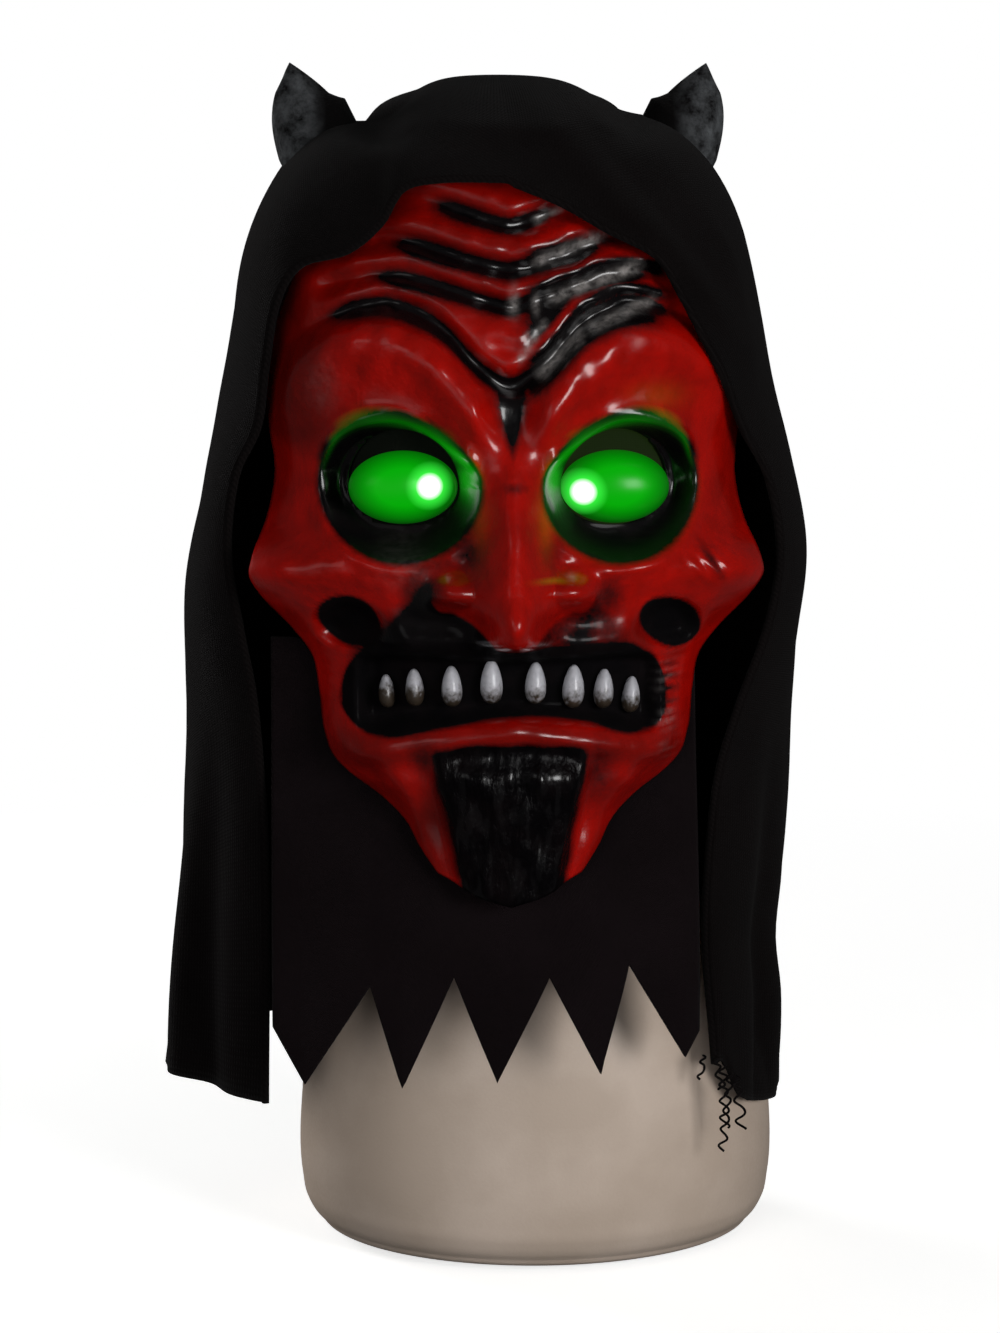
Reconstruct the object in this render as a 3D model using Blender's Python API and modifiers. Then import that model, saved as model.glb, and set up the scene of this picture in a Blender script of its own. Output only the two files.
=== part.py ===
# Light-up devil mask on its display head.
# Metres, +Z up, the face looks along -Y, origin at the middle of the foot's flat underside.

import math

import bmesh
import bpy
import numpy as np
from mathutils import Vector
from mathutils.bvhtree import BVHTree

MM = 0.001
NAME = "light_up_devil_mask"

# Gaps between touching pieces
GAP = 0.0004            # between two pieces that touch
CLOTH_CLEARANCE = 0.0026  # cloth laid over the coarse facets of the mask and head
CROWN_CLEARANCE = 0.0009  # hood above the top of the skull
SEAT_GAP = 0.0006       # a sheet that is moved until it rests on another

# Display head
FOOT_WIDTH = 0.176
FOOT_DEPTH = 0.150
FOOT_EDGE_RADIUS = 0.020
FOOT_WALL_HEIGHT = 0.052
NECK_WIDTH = 0.106
NECK_FRONT = 0.054
NECK_BACK = 0.060
HEEL_SHORTER = 0.005    # how much less the foot reaches back than forward
NECK_HEIGHT = 0.178     # height of the narrowest part of the neck
SKULL_WIDTH = 0.147
SKULL_BACK = 0.096      # from the head's axis to the back of the skull
SKULL_HEIGHT = 0.205    # chin to crown
HEAD_HEIGHT = 0.4265
HEAD_SHIFT = -0.0145    # the head stands a little to one side of the foot

# Mask
MASK_WIDTH = 0.180
MASK_HEIGHT = 0.261
MASK_WALL = 0.0016
MASK_TOP_BELOW_CROWN = 0.0225
MASK_RELIEF = 1.0       # depth of the carving, as a share of the modelled one
TOOTH_WIDTH = 0.0076
TOOTH_LENGTH = 0.0140
TOOTH_DEPTH = 0.0100
TOOTH_STAND = 0.0025    # tooth's middle in front of the mouth's floor

# Eyes
EYE_WIDTH = 0.0376
EYE_HEIGHT = 0.0252
EYE_BULGE = 0.0125
EYE_WALL = 0.0012
SLIT_HEIGHT = 0.0072    # see-through gap left above each dome
LED_DIAMETER = 0.0080
LED_LENGTH = 0.0100

# Cloth
HOOD_THICKNESS = 0.0020
HOOD_HEM_HEIGHT = 0.062
HOOD_SHOULDER_DROP = 0.091   # crown to the level where the hood stops being a dome
HOOD_WIDTH = 0.184
HOOD_SQUARENESS = 2.4   # 2 is a round dome; more is squarer at its shoulders
HOOD_RIGHT_DIP = 0.011  # how much lower the right panel's hem hangs at its side
FOLD_DEPTH = 0.0045
BIB_THICKNESS = 0.0020
BIB_TIP_HEIGHT = 0.078
BIB_TOOTH = 0.037       # depth of the zigzag

# Horns
HORN_REACH = 0.0240     # middle of the base to the tip
HORN_SEAT = 0.0009      # horn's foot above the hood's facets
HORN_BASE = 0.040
HORN_THICKNESS = 0.028
HORN_SPREAD = 0.1500    # tip to tip
HORN_RISE = 0.007       # tip above the skull's crown
HORN_AHEAD = 0.012      # in front of the head's axis
HORN_LEAN = 0.450       # how far it leans outwards, as a share of its length
HORN_SLOPE = 0.74       # slope of its base across, as a share outwards
HORN_LAID = 0.62        # way its foot is laid on the hood, as a share inwards

MASK_TOP = HEAD_HEIGHT - MASK_TOP_BELOW_CROWN
HOOD_LEVEL = HEAD_HEIGHT + CROWN_CLEARANCE - HOOD_SHOULDER_DROP


# Curves and meshes

def through(points, at):
    """Smooth curve through (place, value) points, read at the places `at`.
    Cubic Hermite pieces whose slope at a point is the slope across its neighbours."""
    places, values = np.array(points, float).T
    slopes = np.gradient(values, places)
    at = np.clip(at, places[0], places[-1])
    i = np.clip(np.searchsorted(places, at) - 1, 0, len(places) - 2)
    span = places[i + 1] - places[i]
    f = (at - places[i]) / span
    return (values[i] * (1 + 2 * f) * (1 - f) ** 2 + slopes[i] * span * f * (1 - f) ** 2
            + values[i + 1] * f * f * (3 - 2 * f) - slopes[i + 1] * span * f * f * (1 - f))


def soft_step(low, high, at):
    """0 below `low`, 1 above `high`, and a smooth rise between them."""
    f = np.clip((at - low) / (high - low), 0.0, 1.0)
    return f * f * (3 - 2 * f)


def bell(distance, half_width):
    """1 on a line, falling to nearly nothing two half widths away."""
    return np.exp(-(distance / half_width) ** 2)


def grid_faces(rows, columns, round_columns=False):
    """Quads of a grid of points numbered row by row."""
    last = columns if round_columns else columns - 1
    return [(r * columns + c, r * columns + (c + 1) % columns,
             (r + 1) * columns + (c + 1) % columns, (r + 1) * columns + c)
            for r in range(rows - 1) for c in range(last)]


def add_object(name, points, faces, merge=0.0, outward=True):
    """Object in the part's collection, from points and faces."""
    mesh = bpy.data.meshes.new(name)
    mesh.from_pydata([tuple(p) for p in points], [], faces)
    shape = bmesh.new()
    shape.from_mesh(mesh)
    if merge:
        bmesh.ops.remove_doubles(shape, verts=shape.verts, dist=merge)
    if outward:
        bmesh.ops.recalc_face_normals(shape, faces=shape.faces)
    shape.to_mesh(mesh)
    shape.free()
    mesh.shade_smooth()
    body = bpy.data.objects.new(name, mesh)
    PARTS.objects.link(body)
    return body


def give_material(body, name, colour, roughness, metallic=0.0):
    """Own Principled material for one piece; colours are linear."""
    material = bpy.data.materials.new(name)
    material.use_nodes = True
    shader = material.node_tree.nodes["Principled BSDF"]
    shader.inputs["Base Color"].default_value = (*colour, 1.0)
    shader.inputs["Roughness"].default_value = roughness
    shader.inputs["Metallic"].default_value = metallic
    body.data.materials.clear()
    body.data.materials.append(material)


def set_solidify(body, thickness, offset):
    """Wall for an open surface."""
    wall = body.modifiers.new("Wall", "SOLIDIFY")
    wall.thickness = thickness
    wall.offset = offset


def set_boolean(body, other, operation):
    """Exact Boolean with a cutter or a shape that joins."""
    change = body.modifiers.new(operation.title(), "BOOLEAN")
    change.operation = operation
    change.solver = "EXACT"
    change.object = other


def as_cutter(body):
    """Move a helper shape to the cutters' collection, out of the render."""
    for owner in list(body.users_collection):
        owner.objects.unlink(body)
    CUTTERS.objects.link(body)
    body.hide_render = True
    body.display_type = "WIRE"
    return body


def world_tree(*bodies):
    """One search tree over the finished meshes of some objects."""
    bpy.context.view_layer.update()
    depsgraph = bpy.context.evaluated_depsgraph_get()
    points = []
    faces = []
    for body in bodies:
        mesh = body.evaluated_get(depsgraph).to_mesh()
        start = len(points)
        points += [body.matrix_world @ v.co for v in mesh.vertices]
        faces += [[start + i for i in f.vertices] for f in mesh.polygons]
    return BVHTree.FromPolygons(points, faces)


def move_until(body, other, way, reach):
    """Move a piece along `way` until it is SEAT_GAP short of touching the other one."""
    way = Vector(way).normalized()
    travel = reach
    for moving, still, along in ((body, other, way), (other, body, -way)):
        tree = world_tree(still)
        depsgraph = bpy.context.evaluated_depsgraph_get()
        mesh = moving.evaluated_get(depsgraph).to_mesh()
        for corner in mesh.vertices:
            hit = tree.ray_cast(moving.matrix_world @ corner.co, along, travel)
            if hit[3] is not None:
                travel = min(travel, hit[3])
    body.location += way * (travel - SEAT_GAP)


# Display head: flared oval foot, neck, and a plain skull without features

def head_stations():
    """Height, half width, front reach and back reach of the head's oval sections."""
    wide = FOOT_WIDTH / 2
    deep = FOOT_DEPTH / 2
    heel = deep - HEEL_SHORTER
    radius = FOOT_EDGE_RADIUS
    neck = NECK_WIDTH / 2
    rows = []
    for turn in np.radians([0, 22, 45, 68, 90]):
        inset = radius * (1 - math.sin(turn))
        rows.append((radius * (1 - math.cos(turn)), wide - inset, deep - inset, heel - inset))
    rows.append((FOOT_WALL_HEIGHT, wide, deep, heel))
    collar = NECK_HEIGHT - FOOT_WALL_HEIGHT
    for share, spread in ((0.22, 0.90), (0.42, 0.68), (0.60, 0.40), (0.80, 0.13), (1.0, 0.0)):
        rows.append((FOOT_WALL_HEIGHT + share * collar, neck + spread * (wide - neck),
                     NECK_FRONT + spread * (deep - NECK_FRONT), NECK_BACK + spread * (heel - NECK_BACK)))
    chin = HEAD_HEIGHT - SKULL_HEIGHT
    half = SKULL_WIDTH / 2
    front = skull_front()
    back = SKULL_BACK
    for share, width, ahead, behind in ((-0.11, 0.72, 0.66, 0.68), (-0.02, 0.72, 0.90, 0.75),
                                        (0.12, 0.80, 0.88, 0.88), (0.30, 0.93, 0.87, 0.97),
                                        (0.50, 1.0, 1.0, 1.0), (0.68, 0.97, 0.90, 0.96),
                                        (0.82, 0.84, 0.75, 0.82), (0.92, 0.63, 0.55, 0.61),
                                        (0.98, 0.35, 0.31, 0.34)):
        rows.append((chin + share * SKULL_HEIGHT, half * width, front * ahead, back * behind))
    rows.append((HEAD_HEIGHT, half * 0.06, front * 0.06, back * 0.06))
    return rows


def skull_front():
    """Front reach of the skull: the mask's inner side rests on it between the brows."""
    rest = face_depth(np.array(0.0), np.array(line_height("brow wrinkle", 0.0)))
    return float(rest) * MM - MASK_WALL - SEAT_GAP


def head_shift(height):
    """Sideways place of the head's middle: over the foot below, HEAD_SHIFT from the jaw up."""
    return HEAD_SHIFT * soft_step(FOOT_WALL_HEIGHT, HEAD_HEIGHT - SKULL_HEIGHT, height)


def head_oval(height):
    """Half width, front reach and back reach of the head at some heights."""
    rows = head_stations()
    return [through([(r[0], r[k]) for r in rows], height) for k in (1, 2, 3)]


def make_display_head():
    """Loft the oval sections from the underside to the crown, and close both ends."""
    sides = 24
    turn = np.linspace(0, 2 * np.pi, sides, endpoint=False)
    rows = head_stations()
    rings = []
    for height, wide, front, back in rows:
        reach = np.where(np.cos(turn) > 0, front, back)
        rings.append(np.stack([head_shift(height) + wide * np.sin(turn),
                               -reach * np.cos(turn), np.full(sides, height)], axis=-1))
    points = np.concatenate(rings)
    faces = grid_faces(len(rings), sides, round_columns=True)
    faces.append(tuple(range(sides)))
    faces.append(tuple(range(len(points) - sides, len(points))))
    head = add_object("display_head", points, faces)
    give_material(head, "Beige moulded plastic", (0.55, 0.46, 0.39), 0.45)
    return head


# Mask: a loft across the lines that the face is carved along.
# Lines are given in millimetres on a face 180 wide and 261 high, with heights from its chin,
# so they are shares of the mask's own width and height.

FACE_WIDTH = 180.0
FACE_HEIGHT = 261.0
CHIN = 143.0

# Half width of the outline at a height
OUTLINE = ((143, 14), (146, 19), (153.5, 25), (162, 31), (172, 37), (179, 45), (186, 55), (192, 61),
           (200, 64), (215, 66), (228, 69), (236, 75), (247, 85), (256, 90), (262, 89), (275, 84),
           (290, 81), (315, 84), (335, 82), (350, 78), (365, 71), (380, 60), (396, 43), (404, 28))

# Each line: height at shares of the half width, and how many rows lead to the next line
LINES = {
    "top edge": (((0, 404), (0.5, 403), (1, 396)), 3),
    "upper wrinkle": (((0, 376), (0.25, 381), (0.5, 385), (1, 385)), 2),
    "second wrinkle": (((0, 361), (0.25, 366), (0.5, 371), (1, 369)), 2),
    "third wrinkle": (((0, 348), (0.25, 355), (0.5, 360), (1, 354)), 3),
    "brow wrinkle": (((0, 320), (0.12, 328), (0.3, 343), (0.5, 350), (0.75, 346), (1, 334)), 2),
    "brow": (((0, 303), (0.17, 316), (0.3, 328), (0.5, 337), (0.75, 334), (1, 316)), 2),
    "upper lid": (((0, 294), (0.2, 299), (0.45, 311), (0.65, 309), (0.8, 300), (1, 296)), 3),
    "eye": (((0, 286), (0.5, 287), (1, 284)), 2),
    "lower lid": (((0, 273), (0.45, 266), (0.8, 270), (1, 273)), 2),
    "cheekbone": (((0, 256), (0.5, 256), (1, 259)), 2),
    "cheek hollow": (((0, 240), (0.5, 240), (1, 246)), 2),
    "mouth top": (((0, 230), (0.5, 231), (0.8, 230), (1, 234)), 2),
    "teeth": (((0, 220), (0.5, 219), (1, 220)), 2),
    "mouth bottom": (((0, 210), (0.5, 206), (0.75, 203), (1, 205)), 1),
    "lower lip": (((0, 205), (0.5, 200), (0.75, 197), (1, 196)), 3),
    "beard": (((0, 178), (0.5, 180), (1, 182)), 2),
    "beard end": (((0, 158), (0.5, 160), (1, 165)), 2),
    "chin edge": (((0, 143), (0.5, 146), (1, 153.5)), 0),
}
COLUMNS = 12            # to each side of the middle
SOCKET = (38.0, 289.0, 27.0, 25.0)      # middle and half sizes
EYE_MIDDLE = (36.5, 287.5)
HOLLOW = (55.0, 240.0, 12.5, 9.5)
TEETH = ((7.6, 220.5, 1.0), (21.0, 219.0, 1.0), (32.6, 217.5, 0.94), (42.0, 215.5, 0.85))
MOUTH_HALF_WIDTH = 51.0


def line_height(name, share):
    """Height of one carved line at shares of the half width."""
    return through(LINES[name][0], np.abs(share))


def half_width(z):
    """Half width of the mask's outline."""
    return through(OUTLINE, z)


def patch(x, z, middle_x, middle_z, half_x, half_z):
    """Radius in an oval patch: 0 in its middle, 1 on its edge."""
    return np.hypot((x - middle_x) / half_x, (z - middle_z) / half_z)


def face_depth(x, z):
    """How far the face stands forward of the head's axis, in the face's millimetres.
    A curved sheet whose sides fall back, plus each feature as a bell, a step or a patch."""
    x = np.abs(x)
    share = np.clip(x / half_width(z), 0, 1)
    crown = np.where(z > 275, 0.0014, 0.0006)
    fall = through(((143, 5), (160, 12), (180, 24), (200, 36), (235, 40), (330, 42),
                    (350, 36), (380, 24), (404, 14)), z)
    sheet = 108 - crown * (z - 275) ** 2 - fall * share ** 2.6

    inner = 1 - soft_step(0.72, 0.95, share)
    relief = np.zeros_like(sheet)
    for name, depth, width in (("upper wrinkle", 4.0, 3.2), ("second wrinkle", 4.5, 3.2),
                               ("third wrinkle", 4.5, 3.2), ("brow wrinkle", 5.0, 3.6)):
        relief -= depth * inner * bell(z - line_height(name, share), width)
    brow_ends = soft_step(2, 14, x) * (1 - soft_step(0.88, 1.0, share))
    relief += 8.5 * brow_ends * bell(z - line_height("brow", share), 11)

    relief -= 13 * (1 - soft_step(0.70, 1.04, patch(x, z, *SOCKET)))
    lid = soft_step(10, 16, x) * (1 - soft_step(60, 66, x))
    relief += 6 * lid * bell(z - line_height("upper lid", share), 3.2)

    bridge = through(((229, 0), (233, 8), (237, 26), (241, 32), (256, 27), (275, 18),
                      (290, 10), (304, 3), (312, 0)), z)
    bridge_width = through(((229, 12), (245, 11), (262, 11.5), (290, 9), (312, 8)), z)
    nose = bridge * bell(x, bridge_width)
    wings = 13 * bell(patch(x, z, 20.5, 254.5, 9.0, 6.5), 1.0)
    relief += np.maximum(nose, wings) + 0.3 * np.minimum(nose, wings)

    cheekbone = soft_step(24, 34, x) * bell(z - 261, 7.5)
    relief += 5 * cheekbone + 8 * bell(patch(x, z, 82, 257, 15, 12), 1.0)
    relief -= 9 * (1 - soft_step(0.4, 1.15, patch(x, z, *HOLLOW)))

    mouth = 1 - soft_step(MOUTH_HALF_WIDTH - 5, MOUTH_HALF_WIDTH + 3, x)
    above = line_height("mouth top", share) - z
    below = z - line_height("mouth bottom", share)
    relief -= 10 * mouth * soft_step(-1.5, 4, above) * soft_step(-1.5, 4, below)
    relief += 6 * (1 - soft_step(50, 62, x)) * bell(z - line_height("lower lip", share), 5.5)
    relief += 4 * bell(z - 236, 5) * soft_step(12, 22, x) * (1 - soft_step(34, 46, x))

    beard_edge = 19 + (z - 155) * 0.22
    relief += 7 * (1 - soft_step(beard_edge - 4, beard_edge + 3, x)) * (1 - soft_step(188, 200, z))
    fold = np.abs(x - (40 + (z - 190) * 0.42))
    relief += 4.5 * bell(fold, 6.5) * (1 - soft_step(184, 200, z))
    relief += 5 * bell(patch(x, z, 57, 204, 13, 13), 1.0)
    return sheet + MASK_RELIEF * relief


def face_to_world(x, z, lift=0.0):
    """Place of a point of the face, `lift` metres in front of the mask's surface."""
    reach = face_depth(x, z) * MM + lift
    return np.stack([HEAD_SHIFT + x * MASK_WIDTH / FACE_WIDTH, -reach,
                     MASK_TOP + (z - CHIN - FACE_HEIGHT) * MASK_HEIGHT / FACE_HEIGHT], axis=-1)


def world_to_face(points):
    """Face millimetres of some places in the part."""
    x = (points[..., 0] - HEAD_SHIFT) * FACE_WIDTH / MASK_WIDTH
    z = (points[..., 2] - MASK_TOP) * FACE_HEIGHT / MASK_HEIGHT + CHIN + FACE_HEIGHT
    return x, z


def face_grid():
    """Grid over the face: rows run along the carved lines, columns from edge to edge."""
    share = np.linspace(-1, 1, 2 * COLUMNS + 1)
    share = np.sign(share) * np.abs(share) ** 1.22
    names = list(LINES)
    rows = []
    for name, following in zip(names, names[1:]):
        steps = LINES[name][1]
        for step in range(steps):
            f = step / steps
            rows.append((1 - f) * line_height(name, share) + f * line_height(following, share))
    rows.append(line_height(names[-1], share))
    z = np.array(rows)
    return share * half_width(z), z


def eye_outline(side, grow):
    """Opening for one eye: the dome's oval below, and a taller arch above it for the slit."""
    turn = np.linspace(0, 2 * np.pi, 22, endpoint=False)
    wide = EYE_WIDTH / 2 + grow
    high = EYE_HEIGHT / 2 + grow + np.where(np.sin(turn) > 0, SLIT_HEIGHT, 0.0)
    middle = face_to_world(np.array(side * EYE_MIDDLE[0]), np.array(EYE_MIDDLE[1]))
    return middle[0] + wide * np.cos(turn), middle[2] + high * np.sin(turn)


def make_mask():
    """Thin moulded face with its eye openings cut through and its teeth joined on."""
    x, z = face_grid()
    points = face_to_world(x, z).reshape(-1, 3)
    mask = add_object("mask", points, grid_faces(*x.shape), outward=False)
    if mask.data.polygons[0].normal.y > 0:
        mask.data.flip_normals()
    set_solidify(mask, MASK_WALL, -1.0)
    for side in (-1, 1):
        set_boolean(mask, make_eye_cutter(side), "DIFFERENCE")
    for side in (-1, 1):
        for x_place, z_place, size in TEETH:
            set_boolean(mask, make_tooth(side * x_place, z_place, size), "UNION")
    give_material(mask, "Red moulded plastic", (0.42, 0.02, 0.01), 0.28)
    return mask


def make_eye_cutter(side):
    """Prism along Y through the mask's wall, in the outline of the eye opening."""
    x, z = eye_outline(side, GAP)
    count = len(x)
    ends = [np.stack([x, np.full(count, y), z], axis=-1) for y in (-0.16, -0.04)]
    faces = grid_faces(2, count, round_columns=True)
    faces += [tuple(range(count)), tuple(range(count, 2 * count))]
    return as_cutter(add_object("eye_cutter_%d" % (side + 1), np.concatenate(ends), faces))


def make_tooth(x, z, size):
    """Pointed oval tooth that stands out of the mouth's floor."""
    shape = bmesh.new()
    bmesh.ops.create_uvsphere(shape, u_segments=6, v_segments=4, radius=0.5)
    for corner in shape.verts:
        point = abs(corner.co.z) * 2
        corner.co.x *= TOOTH_WIDTH * size * (1 - 0.25 * point * point)
        corner.co.y *= TOOTH_DEPTH
        corner.co.z *= TOOTH_LENGTH * size
    mesh = bpy.data.meshes.new("tooth")
    shape.to_mesh(mesh)
    shape.free()
    tooth = bpy.data.objects.new("tooth_cutter", mesh)
    CUTTERS.objects.link(tooth)
    tooth.location = Vector(face_to_world(np.array(x), np.array(z), TOOTH_STAND))
    tooth.hide_render = True
    tooth.display_type = "WIRE"
    return tooth


# Eyes: a thin translucent dome in each opening, with its light behind it

def eye_place(side):
    """Middle of the dome's rim: level with the floor of the socket."""
    middle = face_to_world(np.array(side * EYE_MIDDLE[0]), np.array(EYE_MIDDLE[1]))
    return Vector((middle[0], middle[1] + 0.002, middle[2]))


def make_eye_dome(side, name):
    """Half an oval shell, open behind."""
    rings = 4
    sides = 16
    turn = np.linspace(0, 2 * np.pi, sides, endpoint=False)
    points = []
    for tilt in np.linspace(0, np.pi / 2, rings + 1)[:-1]:
        points += [(EYE_WIDTH / 2 * math.cos(tilt) * math.cos(a), -EYE_BULGE * math.sin(tilt),
                    EYE_HEIGHT / 2 * math.cos(tilt) * math.sin(a)) for a in turn]
    points.append((0.0, -EYE_BULGE, 0.0))
    faces = grid_faces(rings, sides, round_columns=True)
    start = (rings - 1) * sides
    faces += [(start + i, start + (i + 1) % sides, len(points) - 1) for i in range(sides)]
    dome = add_object(name, points, faces)
    if dome.data.polygons[-1].normal.y > 0:
        dome.data.flip_normals()
    set_solidify(dome, EYE_WALL, -1.0)
    dome.location = eye_place(side)
    give_material(dome, "Translucent green plastic " + name, (0.03, 0.75, 0.05), 0.25)
    return dome


def make_eye_led(side, name, dome):
    """Round-nosed light on the inner half of the dome, its nose against the dome's inside."""
    sides = 8
    turn = np.linspace(0, 2 * np.pi, sides, endpoint=False)
    radius = LED_DIAMETER / 2
    profile = [(radius, LED_LENGTH), (radius, radius), (0.8 * radius, 0.45 * radius),
               (0.45 * radius, 0.12 * radius)]
    points = [(r * math.cos(a), y, r * math.sin(a)) for r, y in profile for a in turn]
    faces = grid_faces(len(profile), sides, round_columns=True)
    faces += [tuple(range(sides)), tuple(range(len(points) - sides, len(points)))]
    led = add_object(name, points, faces)
    place = eye_place(side)
    place.x -= side * 0.27 * EYE_WIDTH
    place.z -= 0.03 * EYE_HEIGHT
    led.location = place + Vector((0, EYE_BULGE, 0))
    move_until(led, dome, (0, -1, 0), 2 * EYE_BULGE)
    give_material(led, "Lit white LED " + name, (0.9, 1.0, 0.9), 0.2)
    return led


# Hood: one sheet in two mirrored halves, from the face opening to the seam down the back

# Front edge of each half, in millimetres from the head's axis, from the crown down to the hem
RIGHT_EDGE = ((0, -98, 391), (17, -97, 384), (33, -96, 375), (50, -92, 366), (59, -90, 352),
              (66, -88, 339), (75, -80, 322), (82, -72, 306), (92, -64, 288), (97, -60, 262),
              (93, -60, 235), (82, -63, 205), (74, -66, 175), (71, -67, 120), (75, -66, 64))
LEFT_EDGE = ((0, -98, 392), (22, -97, 392), (36, -95, 389), (44, -94, 377), (55, -91, 368),
             (71, -83, 363), (79, -78, 350), (83, -73, 328), (86, -68, 307), (94, -64, 289),
             (97, -60, 262), (93, -60, 235), (88, -61, 205), (85, -62, 150), (86, -62, 64))
# Half width at heights, right then left, for a dome whose own is the last one
RIGHT_WIDTH = ((60, 105), (99, 106), (119, 104), (142, 107), (199, 110), (266, 109),
               (296, 104), (322, 99), (336, 96))
LEFT_WIDTH = ((60, 126), (106, 122), (144, 119), (201, 116), (238, 115), (264, 111),
              (286, 106), (312, 102), (336, 96))
EDGE_LEVEL = 426.5      # height of the crown that the millimetres above were set out on
EDGE_HEM = 62.0         # height of the hem that they were set out on
HOOD_AHEAD = 118.0      # front reach of the dome
HOOD_FLATTER = 30.0     # how much less the front reach is below the temples
HOOD_BEHIND = ((0, 105), (90, 110), (180, 117), (280, 124))    # back reach at drops
SEAM_TURN = ((0, 100), (0.2, 125), (0.45, 165), (0.62, 180), (1, 180))
FOLDS = 9               # waves round the hood, as a multiple of the angle
FOLD_REACH = 110.0      # distance from the axis that the folds are set out on
RIGHT_FOLD_START = 0.8  # where the waves begin, in radians
LEFT_FOLD_START = 2.0


def hood_width(widths, drop):
    """Half width of the hood at a drop below the dome, as a share of the dome's own."""
    return through(widths, widths[-1][0] - drop) / widths[-1][1]


def hood_ahead(drop):
    """Front reach of the hood's ovals: they flatten below the temples."""
    return HOOD_AHEAD - HOOD_FLATTER * soft_step(0, HOOD_SHOULDER_DROP / MM, drop)


def squarer(direction):
    """How much further a squared-off dome reaches than a round one in a unit direction."""
    round_part = np.hypot(direction[..., 0], direction[..., 1]) ** HOOD_SQUARENESS
    up_part = np.abs(direction[..., 2]) ** HOOD_SQUARENESS
    return (round_part + up_part)[..., None] ** (-1 / HOOD_SQUARENESS)


def hood_half(side, rows, columns):
    """Grid of points of one half of the hood's inner face.
    Rows run from the crown's middle line to the hem. Along a row a direction turns from
    the front edge to the back seam over an oval dome, and below the dome the same
    directions are spread on ovals that widen to the hem."""
    edge = np.array(RIGHT_EDGE if side > 0 else LEFT_EDGE, float)
    places = np.linspace(0, 1, len(edge))
    u = np.linspace(0, 1, rows)
    lift = HEAD_HEIGHT / MM - EDGE_LEVEL
    level = HOOD_LEVEL / MM - lift
    dome = HOOD_SHOULDER_DROP / MM
    stretch = (level - HOOD_HEM_HEIGHT / MM + lift) / (level - EDGE_HEM)
    front = np.stack([through(list(zip(places, edge[:, k])), u) for k in range(3)], axis=-1)
    up = np.maximum(front[:, 2] - level, 0)
    down = np.maximum(level - front[:, 2], 0) * stretch
    wide = HOOD_WIDTH / 2 / MM
    widths = RIGHT_WIDTH if side > 0 else LEFT_WIDTH
    start = np.stack([front[:, 0] / (hood_width(widths, down / stretch) * wide),
                      front[:, 1] / hood_ahead(down), up / dome], axis=-1)
    size = np.linalg.norm(start, axis=-1, keepdims=True)
    start = start / size
    size = size / squarer(start)

    back_turn = np.radians(through(SEAM_TURN, u))
    back_down = (level - EDGE_HEM) * stretch * soft_step(0.5, 1.0, u)
    seam = np.stack([np.zeros(rows), -np.cos(back_turn), np.sin(back_turn)], axis=-1)

    v = np.linspace(0, 1, columns) ** 1.15
    angle = np.arccos(np.clip((start * seam).sum(-1), -1, 1))[:, None, None]
    turned = (np.sin((1 - v)[None, :, None] * angle) * start[:, None, :]
              + np.sin(v[None, :, None] * angle) * seam[:, None, :]) / np.sin(angle)
    reach = 1 + (size[:, None, :] - 1) * (1 - soft_step(0.0, 0.35, v))[None, :, None]
    turned = turned * reach * squarer(turned)
    drop = down[:, None] * (1 - v) + back_down[:, None] * v

    z = level + dome * turned[..., 2] - drop
    if side > 0:
        z = z - HOOD_RIGHT_DIP / MM * soft_step(0.8, 1.0, u)[:, None] * bell(v - 0.24, 0.17)
    width = hood_width(widths, drop / stretch) * wide
    turn = np.arctan2(turned[..., 0], -turned[..., 1])
    start_turn = RIGHT_FOLD_START if side > 0 else LEFT_FOLD_START
    folds = soft_step(60, 270, drop) * FOLD_DEPTH / MM * np.sin(FOLDS * turn + start_turn)
    folds = folds * soft_step(0.0, 0.2, v)[None, :] * (1 - soft_step(0.9, 1.0, v)[None, :])
    grow = 1 + folds / FOLD_REACH
    depth = np.where(turned[..., 1] < 0, hood_ahead(drop), through(HOOD_BEHIND, drop))
    x = side * width * turned[..., 0] * grow
    y = depth * turned[..., 1] * grow
    return np.stack([HEAD_SHIFT + x * MM, y * MM, (z + lift) * MM], axis=-1)


def push_clear(points, clearance):
    """Move cloth points outwards where they lie too close to the head or the mask."""
    points = points.copy()
    wide, front, back = head_oval(points[..., 2])
    axis = head_shift(points[..., 2])
    reach = np.where(points[..., 1] < 0, front, back)
    x = points[..., 0] - axis
    radius = np.hypot(x / (wide + clearance), points[..., 1] / (reach + clearance))
    near = (radius < 1) & (points[..., 2] < HEAD_HEIGHT - 0.004) & (radius > 0.05)
    grow = np.where(near, 1 / np.maximum(radius, 0.05), 1.0)
    points[..., 0] = axis + x * grow
    points[..., 1] *= grow

    face_x, face_z = world_to_face(points)
    top = CHIN + FACE_HEIGHT
    beside = 1.5 + 9 * soft_step(330, 380, face_z)
    inside = (np.abs(face_x) < half_width(face_z) + beside) & (face_z < top + 6)
    inside &= (face_z > 297) & (points[..., 1] < -0.04)
    wanted = face_depth(face_x, np.clip(face_z, CHIN, top)) * MM + clearance
    needed = np.where(inside, np.maximum(wanted + points[..., 1], 0), 0)
    points[..., 1] -= spread_out(needed)
    return points


def spread_out(needed):
    """Smooth a push over a grid without letting it fall below what is needed anywhere."""
    push = needed.copy()
    for _ in range(10):
        wide = np.pad(push, 1, mode="edge")
        around = (wide[:-2, 1:-1] + wide[2:, 1:-1] + wide[1:-1, :-2] + wide[1:-1, 2:]) / 4
        push = np.maximum(needed, around)
    return push


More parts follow.
